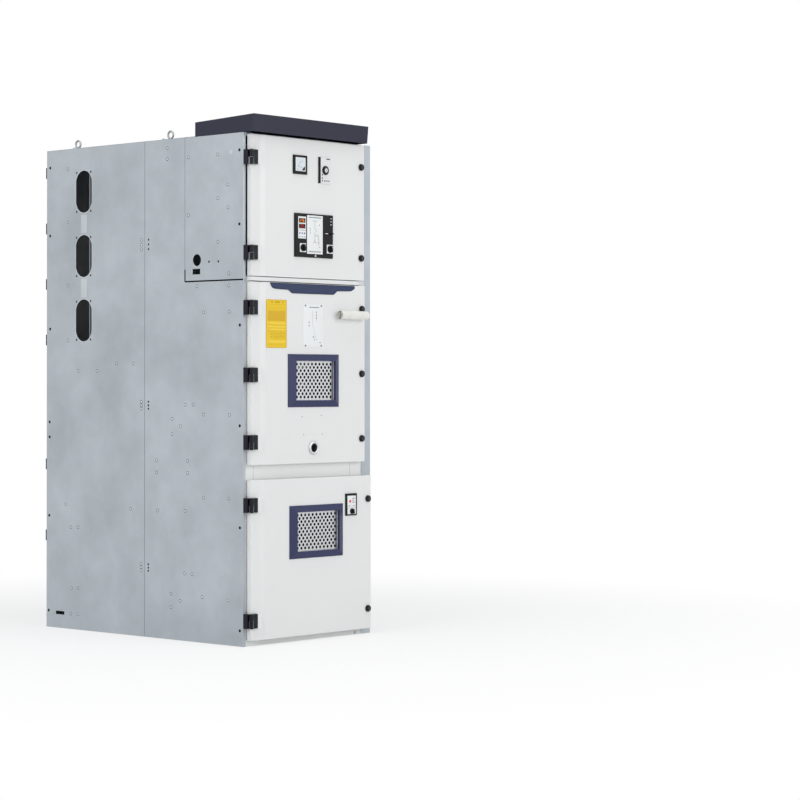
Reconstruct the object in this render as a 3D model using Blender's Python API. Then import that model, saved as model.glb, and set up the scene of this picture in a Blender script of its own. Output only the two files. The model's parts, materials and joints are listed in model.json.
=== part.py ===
# Metal-clad switchgear cubicle with a withdrawable circuit breaker.
# Metres, +Z up. The origin lies on the floor under the middle of the body, and the doors face -Y.

import math

import bmesh
import bpy
from mathutils import Matrix, Vector
from mathutils.geometry import tessellate_polygon

# Overall sizes of the sheet metal body
WIDTH = 0.800
DEPTH = 1.300
HEIGHT = 2.200

# Sheet, clearances and cuts
SHEET = 0.002
GAP = 0.0003
OVERRUN = 0.010
MERGE = 0.000004

# Planes of the body
LEFT = -WIDTH / 2
RIGHT = WIDTH / 2
FRONT = -DEPTH / 2
BACK = DEPTH / 2

# Levels and depths of the compartments, measured from the floor and from the front plane
BASE_HEIGHT = 0.060
RELAY_BOX_DEPTH = 0.365
RELAY_BOX_FOOT = 1.573
RIGHT_STRIP = 0.059
RELAY_BOX_RIGHT = RIGHT - RIGHT_STRIP
SEAM_DEPTH = 0.626
SEAM = FRONT + SEAM_DEPTH
RELAY_BACK = FRONT + RELAY_BOX_DEPTH

# Front doors: margins are what the body shows beside them
DOOR_MARGIN = 0.022
DOOR_LEFT = LEFT + DOOR_MARGIN
DOOR_BACK_STANDOFF = 0.001
DOOR_EDGE_DEPTH = 0.025
DOOR_FACE_DEPTH = 0.030
DOOR_EDGE_STRIP = 0.055
DOOR_SLOPE = 0.026
RELAY_DOOR_MARGIN = 0.014
RELAY_DOOR_RIGHT = RELAY_BOX_RIGHT - RELAY_DOOR_MARGIN
RELAY_DOOR_FOOT = 1.586
RELAY_DOOR_DROP = 0.007
RELAY_DOOR_TOP = HEIGHT - RELAY_DOOR_DROP
BREAKER_DOOR_MARGIN = 0.010
BREAKER_DOOR_RIGHT = RELAY_BOX_RIGHT - BREAKER_DOOR_MARGIN
BREAKER_DOOR_FOOT = 0.776
BREAKER_DOOR_TOP = 1.562
CABLE_DOOR_MARGIN = 0.028
CABLE_DOOR_RIGHT = RIGHT - CABLE_DOOR_MARGIN
CABLE_DOOR_FOOT = 0.026
CABLE_DOOR_TOP = 0.712

# Phase centres, from the cubicle's middle
PHASE_PITCH = 0.180
PHASES = {"a": -PHASE_PITCH, "b": 0.0, "c": PHASE_PITCH}

# Facets of round pieces
COARSE = 10
ROUND = 14
FINE = 22
SMOOTH_DEGREES = 35


def spread(first, last, count):
    """Levels at even steps from the first to the last."""
    return tuple(first + (last - first) * i / (count - 1) for i in range(count))


for old in list(bpy.data.objects):
    bpy.data.objects.remove(old, do_unlink=True)


# Materials

def material(name, colour, roughness, metallic):
    """Principled material with a plain colour."""
    made = bpy.data.materials.get(name)
    if made is None:
        made = bpy.data.materials.new(name)
        made.use_nodes = True
        shader = made.node_tree.nodes["Principled BSDF"]
        shader.inputs["Base Color"].default_value = (*colour, 1.0)
        shader.inputs["Roughness"].default_value = roughness
        shader.inputs["Metallic"].default_value = metallic
        made.diffuse_color = (*colour, 1.0)
    return made


GALVANISED = material("galvanised_steel", (0.52, 0.56, 0.60), 0.42, 0.85)
DOOR_PAINT = material("white_powder_coat", (0.80, 0.81, 0.80), 0.45, 0.0)
NAVY_PAINT = material("navy_powder_coat", (0.045, 0.048, 0.09), 0.45, 0.0)
HINGE_PAINT = material("black_navy_die_cast", (0.015, 0.015, 0.028), 0.5, 0.2)
BLACK_PLASTIC = material("black_moulded_plastic", (0.02, 0.02, 0.02), 0.45, 0.0)
PALE_PLASTIC = material("pale_moulded_plastic", (0.75, 0.76, 0.76), 0.4, 0.0)
BRIGHT_STEEL = material("zinc_plated_steel", (0.62, 0.63, 0.65), 0.3, 1.0)
COPPER = material("tinned_copper", (0.60, 0.46, 0.36), 0.35, 1.0)
EPOXY = material("cast_epoxy", (0.28, 0.09, 0.05), 0.35, 0.0)
PAPER = material("rolled_paper", (0.85, 0.85, 0.82), 0.8, 0.0)


# Mesh tools

def finish(name, bm, finish_material, smooth=False):
    """Turn a closed bmesh into a named object with its own copy of a finish."""
    bmesh.ops.remove_doubles(bm, verts=bm.verts, dist=MERGE)
    bmesh.ops.recalc_face_normals(bm, faces=bm.faces)
    mesh = bpy.data.meshes.new(name)
    bm.to_mesh(mesh)
    bm.free()
    obj = bpy.data.objects.new(name, mesh)
    bpy.context.scene.collection.objects.link(obj)
    own = finish_material.copy()
    own.name = name + "_finish"
    mesh.materials.append(own)
    if smooth:
        mesh.shade_smooth()
        mesh.set_sharp_from_angle(angle=math.radians(SMOOTH_DEGREES))
    return obj


def block(low, high):
    """Closed box between two corners, as a bmesh."""
    bm = bmesh.new()
    size = [b - a for a, b in zip(low, high)]
    centre = [(a + b) / 2 for a, b in zip(low, high)]
    shape = Matrix.Translation(centre) @ Matrix.Diagonal((*size, 1.0))
    bmesh.ops.create_cube(bm, size=1.0, matrix=shape)
    return bm


def loft(rings, looped=False):
    """Closed bmesh through rings of as many points each, capped at its ends or looped round."""
    bm = bmesh.new()
    rows = [[bm.verts.new(point) for point in ring] for ring in rings]
    for lower, upper in zip(rows, rows[1:] + rows[:1] if looped else rows[1:]):
        for i in range(len(lower)):
            j = (i + 1) % len(lower)
            bm.faces.new((lower[i], lower[j], upper[j], upper[i]))
    if not looped:
        bm.faces.new(rows[0])
        bm.faces.new(rows[-1])
    bmesh.ops.recalc_face_normals(bm, faces=bm.faces)
    return bm


def prism(outline, direction, holes=()):
    """Closed bmesh of a flat outline with holes, given as 3-D points, swept along a direction."""
    loops = [list(map(Vector, outline))] + [list(map(Vector, hole)) for hole in holes]
    flat = [point for loop in loops for point in loop]
    bm = bmesh.new()
    near = [bm.verts.new(point) for point in flat]
    far = [bm.verts.new(point + Vector(direction)) for point in flat]
    for triangle in tessellate_polygon(loops):
        bm.faces.new([near[i] for i in triangle])
        bm.faces.new([far[i] for i in reversed(triangle)])
    start = 0
    for loop in loops:
        for i in range(len(loop)):
            a = start + i
            b = start + (i + 1) % len(loop)
            bm.faces.new((near[a], near[b], far[b], far[a]))
        start += len(loop)
    bmesh.ops.recalc_face_normals(bm, faces=bm.faces)
    return bm


def turned(profile, axis_point, axis, sides=ROUND):
    """Closed revolve of (radius, height) points, the first and the last on the axis."""
    frame = Vector(axis).to_track_quat("Z", "Y").to_matrix().to_4x4()
    place = Matrix.Translation(axis_point) @ frame
    bm = bmesh.new()
    rows = []
    for radius, height in profile:
        if radius == 0:
            rows.append([bm.verts.new(place @ Vector((0, 0, height)))])
            continue
        row = []
        for k in range(sides):
            turn = 2 * math.pi * (k + 0.5) / sides
            point = Vector((radius * math.cos(turn), radius * math.sin(turn), height))
            row.append(bm.verts.new(place @ point))
        rows.append(row)
    for lower, upper in zip(rows, rows[1:]):
        for k in range(sides):
            n = (k + 1) % sides
            corners = [lower[k % len(lower)], lower[n % len(lower)],
                       upper[n % len(upper)], upper[k % len(upper)]]
            bm.faces.new(list(dict.fromkeys(corners)))
    bmesh.ops.recalc_face_normals(bm, faces=bm.faces)
    return bm


def turned_ring(profile, axis_point, axis, sides=ROUND):
    """Closed revolve of a looped profile of (radius, height) points clear of the axis."""
    frame = Vector(axis).to_track_quat("Z", "Y").to_matrix().to_4x4()
    place = Matrix.Translation(axis_point) @ frame
    turns = [2 * math.pi * (k + 0.5) / sides for k in range(sides)]
    return loft([[place @ Vector((radius * math.cos(turn), radius * math.sin(turn), height))
                  for radius, height in profile] for turn in turns], looped=True)


def rod(start, end, radius, sides=ROUND):
    """Closed round bar between two points."""
    along = Vector(end) - Vector(start)
    return turned([(0, 0), (radius, 0), (radius, along.length), (0, along.length)],
                  start, along, sides)


def tool_object(bm):
    """Hidden object that a Boolean modifier reads, shown as wire."""
    mesh = bpy.data.meshes.new("tool")
    bm.to_mesh(mesh)
    bm.free()
    tool = bpy.data.objects.new("tool", mesh)
    bpy.context.scene.collection.objects.link(tool)
    tool.hide_render = True
    tool.display_type = "WIRE"
    return tool


def combine(obj, operation, shapes):
    """Join shapes to an object or cut them from it, and keep the result as its mesh."""
    for bm in shapes:
        tool = tool_object(bm)
        boolean = obj.modifiers.new(operation.lower(), "BOOLEAN")
        boolean.operation = operation
        boolean.solver = "EXACT"
        boolean.object = tool
        bpy.context.view_layer.update()
        graph = bpy.context.evaluated_depsgraph_get()
        result = bpy.data.meshes.new_from_object(obj.evaluated_get(graph))
        obj.modifiers.remove(boolean)
        obj.data = result
        bpy.data.objects.remove(tool, do_unlink=True)
        clean = bmesh.new()
        clean.from_mesh(result)
        bmesh.ops.remove_doubles(clean, verts=clean.verts, dist=MERGE)
        bmesh.ops.dissolve_degenerate(clean, edges=clean.edges, dist=MERGE)
        clean.to_mesh(result)
        clean.free()
    return obj


def join(obj, *shapes):
    """Weld further shapes to an object."""
    return combine(obj, "UNION", shapes)


def cut(obj, *shapes):
    """Cut shapes out of an object."""
    return combine(obj, "DIFFERENCE", shapes)


def rectangle(x0, x1, z0, z1, y):
    """Corners of an upright rectangle that faces the front, as a ring."""
    return [(x0, y, z0), (x1, y, z0), (x1, y, z1), (x0, y, z1)]


def hang_on(obj, point):
    """Move an object's origin to a point and leave its shape where it is."""
    obj.data.transform(Matrix.Translation(-Vector(point)))
    obj.location = point
    return obj


def carry(parent, *children):
    """Parent pieces to the piece that carries them, each where it is."""
    bpy.context.view_layer.update()
    for child in children:
        child.parent = parent
        child.matrix_parent_inverse = parent.matrix_world.inverted()


# Body sheets

FRONT_FLANGE = 0.014
SEAM_FLANGE = 0.020
SHEET_FOOT = 0.0005

BUSBAR_OPENING_WIDTH = 0.112
BUSBAR_OPENING_HEIGHT = 0.194
BUSBAR_LINE_DEPTH = 1.039
BUSBAR_LINE = FRONT + BUSBAR_LINE_DEPTH
LOWEST_BUSBAR = 1.413
HIGHEST_BUSBAR = 2.001
BUSBAR_LEVELS = dict(zip(PHASES, spread(LOWEST_BUSBAR, HIGHEST_BUSBAR, len(PHASES))))
CABLE_SLOT_DEPTH = 1.203
CABLE_SLOT_LENGTH = 0.060
CABLE_SLOT_FOOT = 0.062
CABLE_SLOT_HEIGHT = 0.016


def oblong_x(y, z, width, height, x0, x1, sides=ROUND):
    """Upright oblong with round ends, swept along X."""
    radius = width / 2
    straight = height / 2 - radius
    ring = []
    for k in range(sides):
        turn = 2 * math.pi * (k + 0.5) / sides
        lift = straight if math.sin(turn) > 0 else -straight
        ring.append((x0, y + radius * math.cos(turn), z + lift + radius * math.sin(turn)))
    return prism(ring, (x1 - x0, 0, 0))


def side_sheet(name, outer_x, inward, y0, y1, front_flange):
    """Side sheet with a flange turned inwards at its front and rear edges."""
    flange = max(front_flange, SEAM_FLANGE)
    inner_x = outer_x + inward * flange
    skin_x = outer_x + inward * SHEET
    past_x = inner_x + inward * OVERRUN
    obj = finish(name, block((min(outer_x, inner_x), y0, SHEET_FOOT),
                             (max(outer_x, inner_x), y1, HEIGHT)), GALVANISED)
    cut(obj, block((min(skin_x, past_x), y0 + SHEET, SHEET_FOOT - OVERRUN),
                   (max(skin_x, past_x), y1 - SHEET, HEIGHT + OVERRUN)))
    for y, width in ((y0, front_flange), (y1, SEAM_FLANGE)):
        if width < flange:
            trim_x = outer_x + inward * width
            cut(obj, block((min(trim_x, past_x), y - SHEET - OVERRUN, SHEET_FOOT - OVERRUN),
                           (max(trim_x, past_x), y + SHEET + OVERRUN, HEIGHT + OVERRUN)))
    return obj


def front_side_sheets():
    """Sheets beside the breaker compartment; the left one steps round the relay box."""
    left = side_sheet("side_sheet_left_front", LEFT, 1, FRONT, SEAM - GAP, FRONT_FLANGE)
    cut(left, block((LEFT - OVERRUN, FRONT - OVERRUN, RELAY_BOX_FOOT - GAP),
                    (LEFT + SEAM_FLANGE + OVERRUN, RELAY_BACK + GAP, HEIGHT + OVERRUN)))
    right = side_sheet("side_sheet_right_front", RIGHT, -1, FRONT, SEAM - GAP, RIGHT_STRIP)
    top_corner = HEIGHT - RIGHT_STRIP / 2
    slant = [(RELAY_BOX_RIGHT - OVERRUN, FRONT - OVERRUN, top_corner),
             (RELAY_BOX_RIGHT + RIGHT_STRIP / 2, FRONT - OVERRUN, HEIGHT + OVERRUN),
             (RELAY_BOX_RIGHT - OVERRUN, FRONT - OVERRUN, HEIGHT + OVERRUN)]
    cut(right, prism(slant, (0, OVERRUN + SHEET + OVERRUN / 2, 0)))
    return left, right


def rear_side_sheets():
    """Sheets beside the busbar and cable compartments, open where the busbars pass on."""
    made = []
    for name, outer_x, inward in (("side_sheet_left_rear", LEFT, 1),
                                  ("side_sheet_right_rear", RIGHT, -1)):
        obj = side_sheet(name, outer_x, inward, SEAM, BACK, SEAM_FLANGE)
        for level in BUSBAR_LEVELS.values():
            cut(obj, oblong_x(BUSBAR_LINE, level, BUSBAR_OPENING_WIDTH, BUSBAR_OPENING_HEIGHT,
                              outer_x - OVERRUN, outer_x + OVERRUN))
        slot_y = FRONT + CABLE_SLOT_DEPTH
        cut(obj, block((outer_x - OVERRUN, slot_y - CABLE_SLOT_LENGTH / 2, CABLE_SLOT_FOOT),
                       (outer_x + OVERRUN, slot_y + CABLE_SLOT_LENGTH / 2,
                        CABLE_SLOT_FOOT + CABLE_SLOT_HEIGHT)))
        made.append(obj)
    leg = (LEFT + REAR_LEG_SHARE * SEAM_FLANGE, REAR_AXIS[0] + FIXED_LEG)
    for level in REAR_UPPER_HINGES + REAR_LOWER_HINGES:
        join(made[0], *fixed_knuckle(level, REAR_AXIS, leg, BACK - SHEET / 2,
                                     REAR_HINGE_HEIGHT, REAR_KNUCKLE_RADIUS))
    return made


# Base frame with the floor plate of the cable compartment

BASE_WALL = 0.003
BASE_LIP = 0.030
BASE_STRAP = 0.060
CABLE_HOLE_RADIUS = 0.060
CABLE_HOLE_DEPTH = 0.900
CABLE_HOLE_LINE = FRONT + CABLE_HOLE_DEPTH


def base_frame():
    """Channel ring with a floor plate on top and a flat cross strap under the origin."""
    x0 = LEFT + SEAM_FLANGE + GAP
    x1 = RIGHT - RIGHT_STRIP - GAP
    y0 = FRONT + FRAME_DEPTH + GAP
    y1 = BACK - SHEET - REAR_FRAME_DEPTH - GAP
    top = BASE_HEIGHT
    obj = finish("base_frame", block((x0, y0, 0), (x1, y1, top)), GALVANISED)
    cut(obj, block((x0 + BASE_WALL, y0 + BASE_WALL, BASE_WALL),
                   (x1 - BASE_WALL, y1 - BASE_WALL, top - BASE_WALL)))
    for low, high in ((y0 + BASE_LIP, -BASE_STRAP / 2), (BASE_STRAP / 2, y1 - BASE_LIP)):
        cut(obj, block((x0 + BASE_LIP, low, -OVERRUN),
                       (x1 - BASE_LIP, high, BASE_WALL + OVERRUN)))
    for phase_x in PHASES.values():
        cut(obj, rod((phase_x, CABLE_HOLE_LINE, top - BASE_WALL - OVERRUN),
                     (phase_x, CABLE_HOLE_LINE, top + OVERRUN), CABLE_HOLE_RADIUS))
    return obj


# Relay box, the low voltage compartment on top of the front

WIRE_HOLE_RADIUS = 0.026
WIRE_HOLE_DEPTH = 0.2885
WIRE_HOLE_LIFT = 0.089
TERMINAL_DEPTH = 0.268
TERMINAL_LENGTH = 0.048
TERMINAL_LIFT = 0.027
TERMINAL_HEIGHT = 0.024


def relay_box():
    """Sheet metal box, open at the front inside a narrow flange, with two wiring openings."""
    z0 = RELAY_BOX_FOOT
    obj = finish("relay_box", block((LEFT, FRONT, z0), (RELAY_BOX_RIGHT - GAP, RELAY_BACK, HEIGHT)),
                 GALVANISED)
    x1 = RELAY_BOX_RIGHT - GAP
    cut(obj, block((LEFT + SHEET, FRONT + SHEET, z0 + SHEET),
                   (x1 - SHEET, RELAY_BACK - SHEET, HEIGHT - SHEET)))
    cut(obj, block((LEFT + FRONT_FLANGE, FRONT - OVERRUN, z0 + FRONT_FLANGE),
                   (x1 - FRONT_FLANGE, FRONT + SHEET + OVERRUN, HEIGHT - FRONT_FLANGE)))
    hole = (FRONT + WIRE_HOLE_DEPTH, z0 + WIRE_HOLE_LIFT)
    cut(obj, rod((LEFT - OVERRUN, *hole), (LEFT + OVERRUN, *hole), WIRE_HOLE_RADIUS))
    start = FRONT + TERMINAL_DEPTH
    foot = z0 + TERMINAL_LIFT
    cut(obj, block((LEFT - OVERRUN, start, foot),
                   (LEFT + OVERRUN, start + TERMINAL_LENGTH, foot + TERMINAL_HEIGHT)))
    leg = (LEFT + FRONT_FLANGE - FIXED_LEG, LEFT + FRONT_FLANGE + FIXED_LEG)
    for level in RELAY_HINGES:
        join(obj, *fixed_knuckle(level, FRONT_AXIS, leg, FRONT + SHEET / 2))
    return obj


# Navy fascia on top of the relay box

FASCIA_MARGIN = 0.080
FASCIA_HEIGHT = 0.076
FASCIA_REAR_HEIGHT = 0.063
FASCIA_DEPTH = 0.301
FASCIA_RIGHT = RIGHT - FASCIA_MARGIN
FASCIA_TOP = HEIGHT + FASCIA_HEIGHT
FASCIA_REAR_TOP = HEIGHT + FASCIA_REAR_HEIGHT
FASCIA_REAR = FRONT + FASCIA_DEPTH
FASCIA_NOSE_TOP = 0.064
FASCIA_NOSE_FOOT = 0.057
FASCIA_WALL = 0.002


def fascia_outline(x, wall):
    """Side outline of the fascia, drawn inwards by a wall on all sides but the open foot."""
    foot = HEIGHT + GAP if wall == 0 else HEIGHT - OVERRUN
    return [(x, FRONT - FASCIA_NOSE_FOOT + wall, foot),
            (x, FRONT - FASCIA_NOSE_TOP + wall, FASCIA_TOP - wall),
            (x, FASCIA_REAR - wall, FASCIA_REAR_TOP - wall),
            (x, FASCIA_REAR - wall, foot)]


def top_fascia():
    """Folded cover that overhangs the relay door, open underneath."""
    obj = finish("top_fascia",
                 prism(fascia_outline(LEFT, 0), (FASCIA_RIGHT - LEFT, 0, 0)), NAVY_PAINT)
    return cut(obj, prism(fascia_outline(LEFT + FASCIA_WALL, FASCIA_WALL),
                          (FASCIA_RIGHT - LEFT - 2 * FASCIA_WALL, 0, 0)))


# Front frame of folded posts and rails, with the fixed hinge halves

FRAME_DEPTH = 0.042
FRAME_SKIN = 0.002
LEFT_POST = 0.062
RIGHT_POST = 0.064
TOP_RAIL = 0.045
DIVIDER_HEIGHT = 0.066
DIVIDER_FOOT = CABLE_DOOR_TOP
DIVIDER_TOP = DIVIDER_FOOT + DIVIDER_HEIGHT
LEDGE_DEPTH = 0.028
LEDGE_DROP = 0.0075
LEDGE_HEIGHT = 0.017
LEDGE_FOOT = RELAY_BOX_FOOT - LEDGE_DROP
LEDGE_TOP = LEDGE_FOOT + LEDGE_HEIGHT

HINGE_INSET = 0.016
HINGE_AXIS_DEPTH = 0.034
FRONT_AXIS = (LEFT + HINGE_INSET, FRONT - HINGE_AXIS_DEPTH)
HINGE_HEIGHT = 0.063
KNUCKLE_RADIUS = 0.008
PIN_RADIUS = 0.003
HINGE_BORE_CLEARANCE = 0.0006
KNUCKLE_GAP = 0.0006
HINGE_EDGE = 0.0035
HINGE_LEAF_REACH = 0.053
RELAY_HINGE_LIFT = 0.0995
RELAY_HINGE_DROP = 0.0985
BREAKER_HINGE_LIFT = 0.097
BREAKER_HINGE_DROP = 0.1115
CABLE_HINGE_LIFT = 0.0835
CABLE_HINGE_DROP = 0.108
RELAY_HINGES = (RELAY_DOOR_FOOT + RELAY_HINGE_LIFT, RELAY_DOOR_TOP - RELAY_HINGE_DROP)
BREAKER_HINGES = spread(BREAKER_DOOR_FOOT + BREAKER_HINGE_LIFT,
                        BREAKER_DOOR_TOP - BREAKER_HINGE_DROP, 3)
CABLE_HINGES = (CABLE_DOOR_FOOT + CABLE_HINGE_LIFT, CABLE_DOOR_TOP - CABLE_HINGE_DROP)
FIXED_LEG = 0.005


def fixed_knuckle(level, axis, leg_span, leg_y, height=HINGE_HEIGHT, radius=KNUCKLE_RADIUS):
    """Lower knuckle with its pin, and the leg that ties it to a post."""
    x, y = axis
    low = level - height / 2
    mid = level - KNUCKLE_GAP / 2
    top = level + height / 2
    barrel = turned([(0, 0), (radius, 0), (radius, mid - low),
                     (PIN_RADIUS, mid - low), (PIN_RADIUS, top - low - PIN_RADIUS),
                     (0, top - low - PIN_RADIUS)], (x, y, low), (0, 0, 1), COARSE)
    leg = block((leg_span[0], min(y, leg_y), low + KNUCKLE_GAP),
                (leg_span[1], max(y, leg_y), mid - KNUCKLE_GAP))
    return barrel, leg


def front_frame():
    """Posts, rails and the ledge under the relay door, as one welded frame."""
    x0 = LEFT + SHEET + GAP
    x1 = RELAY_BOX_RIGHT - GAP
    y0 = FRONT + SHEET + GAP
    y1 = FRONT + FRAME_DEPTH
    z0 = SHEET_FOOT
    z1 = RELAY_BOX_FOOT - GAP
    skin = FRAME_SKIN
    left_edge = LEFT + LEFT_POST
    right_edge = RELAY_BOX_RIGHT - RIGHT_POST
    top_edge = z1 - TOP_RAIL
    obj = finish("front_frame", block((x0, y0, z0), (x1, y1, z1)), DOOR_PAINT)
    for foot, head in ((BASE_HEIGHT, DIVIDER_FOOT), (DIVIDER_TOP, top_edge)):
        cut(obj, block((left_edge, y0 - OVERRUN, foot), (right_edge, y1 + OVERRUN, head)))
    hollows = ((x0, left_edge, z0, z1), (right_edge, x1, z0, z1),
               (left_edge, right_edge, z0, BASE_HEIGHT),
               (left_edge, right_edge, DIVIDER_FOOT, DIVIDER_TOP),
               (left_edge, right_edge, top_edge, z1))
    for low_x, high_x, foot, head in hollows:
        cut(obj, block((low_x + skin, y0 + skin, foot + skin),
                       (high_x - skin, y1 + OVERRUN, head - skin)))
    ledge_front = FRONT - LEDGE_DEPTH
    join(obj,
         block((DOOR_LEFT, ledge_front, LEDGE_FOOT),
               (RELAY_DOOR_RIGHT, y0 + skin, z1 - GAP)),
         block((DOOR_LEFT, ledge_front, LEDGE_FOOT),
               (RELAY_DOOR_RIGHT, FRONT - GAP, LEDGE_TOP)))
    leg_x0 = LEFT + FRONT_FLANGE + GAP
    for level in BREAKER_HINGES + CABLE_HINGES:
        join(obj, *fixed_knuckle(level, FRONT_AXIS, (leg_x0, leg_x0 + FIXED_LEG), y0 + skin))
    return obj


# Rear frame behind the rear doors

REAR_FRAME_DEPTH = 0.030
REAR_POST = 0.042
REAR_RAIL = 0.045
REAR_SPLIT = 1.220
REAR_MIDDLE_HALF = 0.0275
REAR_MIDDLE_FOOT = REAR_SPLIT - REAR_MIDDLE_HALF
REAR_MIDDLE_TOP = REAR_SPLIT + REAR_MIDDLE_HALF


def rear_frame():
    """Frame of folded posts and rails that the rear doors close on."""
    x0 = LEFT + SHEET + GAP
    x1 = RIGHT - SHEET - GAP
    y1 = BACK - SHEET - GAP
    y0 = y1 - REAR_FRAME_DEPTH
    z0 = SHEET_FOOT
    z1 = HEIGHT - GAP
    obj = finish("rear_frame", block((x0, y0, z0), (x1, y1, z1)), GALVANISED)
    inner_left = x0 + REAR_POST
    inner_right = x1 - REAR_POST
    rails = ((z0, BASE_HEIGHT), (REAR_MIDDLE_FOOT, REAR_MIDDLE_TOP), (z1 - REAR_RAIL, z1))
    for foot, head in ((BASE_HEIGHT, REAR_MIDDLE_FOOT), (REAR_MIDDLE_TOP, z1 - REAR_RAIL)):
        cut(obj, block((inner_left, y0 - OVERRUN, foot), (inner_right, y1 + OVERRUN, head)))
    hollows = [(x0, inner_left, z0, z1), (inner_right, x1, z0, z1)]
    hollows += [(inner_left, inner_right, foot, head) for foot, head in rails]
    for low_x, high_x, foot, head in hollows:
        cut(obj, block((low_x + FRAME_SKIN, y0 - OVERRUN, foot + FRAME_SKIN),
                       (high_x - FRAME_SKIN, y1 - FRAME_SKIN, head - FRAME_SKIN)))
    return obj


# Roof sheet with the collars of the two pressure relief openings

COLLAR_WIDTH = 0.600
COLLAR_HEIGHT = 0.012
COLLAR_WALL = 0.002
ROOF_FOOT = HEIGHT + GAP
ROOF_TOP = ROOF_FOOT + SHEET
RELIEF_FRONT_DEPTH = 0.400
RELIEF_FRONT_LENGTH = 0.190
RELIEF_REAR_DEPTH = 0.700
RELIEF_REAR_LENGTH = 0.500
RELIEF_OPENINGS = {
    "front": (FRONT + RELIEF_FRONT_DEPTH, FRONT + RELIEF_FRONT_DEPTH + RELIEF_FRONT_LENGTH),
    "rear": (FRONT + RELIEF_REAR_DEPTH, FRONT + RELIEF_REAR_DEPTH + RELIEF_REAR_LENGTH),
}
FLAP_LAP = 0.008
FLAP_THICKNESS = 0.002
CURL_RADIUS = 0.005
CURL_BORE = 0.0028
CURL_PIN = 0.0022
LUG_WIDTH = 0.006
LUG_GAP = 0.0006


def flap_axis(opening):
    """Point on the hinge axis of a relief flap, behind its collar."""
    return (0, opening[1] + COLLAR_WALL + FLAP_LAP, ROOF_TOP + COLLAR_HEIGHT)


def roof_sheet():
    """Flat roof sheet with raised collars and the hinge lugs of the relief flaps."""
    obj = finish("roof_sheet", block((LEFT, RELAY_BACK + GAP, ROOF_FOOT), (RIGHT, BACK, ROOF_TOP)),
                 GALVANISED)
    half = COLLAR_WIDTH / 2
    for opening in RELIEF_OPENINGS.values():
        y0, y1 = opening
        join(obj, block((-half - COLLAR_WALL, y0 - COLLAR_WALL, ROOF_FOOT + SHEET / 2),
                        (half + COLLAR_WALL, y1 + COLLAR_WALL, ROOF_TOP + COLLAR_HEIGHT - GAP)))
        cut(obj, block((-half, y0, ROOF_FOOT - OVERRUN),
                       (half, y1, ROOF_TOP + COLLAR_HEIGHT + OVERRUN)))
        _, axis_y, axis_z = flap_axis(opening)
        lug_x = half + COLLAR_WALL + FLAP_LAP
        for side in (-1, 1):
            inner = side * (lug_x + LUG_GAP)
            outer = side * (lug_x + LUG_GAP + LUG_WIDTH)
            join(obj,
                 block((min(inner, outer), axis_y - CURL_RADIUS, ROOF_FOOT + SHEET / 2),
                       (max(inner, outer), axis_y + CURL_RADIUS, axis_z + CURL_RADIUS)),
                 rod((side * (lug_x - LUG_WIDTH), axis_y, axis_z),
                     (side * (lug_x + LUG_WIDTH), axis_y, axis_z), CURL_PIN, COARSE))
    for x in EYEBOLT_X:
        for y in EYEBOLT_Y:
            cut(obj, rod((x, y, ROOF_FOOT - OVERRUN), (x, y, ROOF_TOP + OVERRUN),
                         EYE_SHANK + GAP, COARSE))
    return obj


def relief_flap(which):
    """Sheet lid with a curled hinge edge that lifts when an arc vents."""
    opening = RELIEF_OPENINGS[which]
    axis = flap_axis(opening)
    half = COLLAR_WIDTH / 2 + COLLAR_WALL + FLAP_LAP
    low = ROOF_TOP + COLLAR_HEIGHT
    obj = finish("relief_flap_" + which,
                 block((-half, opening[0] - COLLAR_WALL - FLAP_LAP, low),
                       (half, axis[1], low + FLAP_THICKNESS)), GALVANISED)
    join(obj, rod((-half, axis[1], axis[2]), (half, axis[1], axis[2]), CURL_RADIUS, COARSE))
    for side in (-1, 1):
        cut(obj, rod((side * (half - LUG_WIDTH - OVERRUN), axis[1], axis[2]),
                     (side * (half + OVERRUN), axis[1], axis[2]), CURL_BORE, COARSE))
    return hang_on(obj, axis)


# Lifting eyebolts

EYEBOLT_INSET = 0.040
EYEBOLT_FRONT_DEPTH = 0.500
EYEBOLT_REAR_INSET = 0.174
EYEBOLT_X = (LEFT + EYEBOLT_INSET, RIGHT - EYEBOLT_INSET)
EYEBOLT_Y = (FRONT + EYEBOLT_FRONT_DEPTH, BACK - EYEBOLT_REAR_INSET)
EYE_RADIUS = 0.0165
EYE_WIRE = 0.0045
EYE_SHANK = 0.006
EYE_COLLAR = 0.011
EYE_COLLAR_HEIGHT = 0.006
EYE_SHANK_LENGTH = 0.025


def eyebolt(name, x, y):
    """Ring, collar and shank of one lifting eye; the ring faces the side."""
    foot = ROOF_TOP + GAP
    bm = bmesh.new()
    centre_z = foot + EYE_COLLAR_HEIGHT + EYE_RADIUS
    rows = []
    for i in range(ROUND):
        turn = 2 * math.pi * i / ROUND
        row = []
        for j in range(COARSE // 2):
            roll = 2 * math.pi * j / (COARSE // 2)
            reach = EYE_RADIUS + EYE_WIRE * math.cos(roll)
            row.append(bm.verts.new((x + EYE_WIRE * math.sin(roll), y + reach * math.cos(turn),
                                     centre_z + reach * math.sin(turn))))
        rows.append(row)
    for row, following in zip(rows, rows[1:] + rows[:1]):
        for j in range(len(row)):
            k = (j + 1) % len(row)
            bm.faces.new((row[j], row[k], following[k], following[j]))
    obj = finish(name, bm, BRIGHT_STEEL, smooth=True)
    stem = turned([(0, -EYE_SHANK_LENGTH), (EYE_SHANK, -EYE_SHANK_LENGTH), (EYE_SHANK, 0),
                   (EYE_COLLAR, 0), (EYE_COLLAR, EYE_COLLAR_HEIGHT / 2),
                   (EYE_SHANK, EYE_COLLAR_HEIGHT), (0, EYE_COLLAR_HEIGHT)],
                  (x, y, foot), (0, 0, 1), COARSE)
    return join(obj, stem)


# Partitions and the breaker compartment's floor

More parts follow.
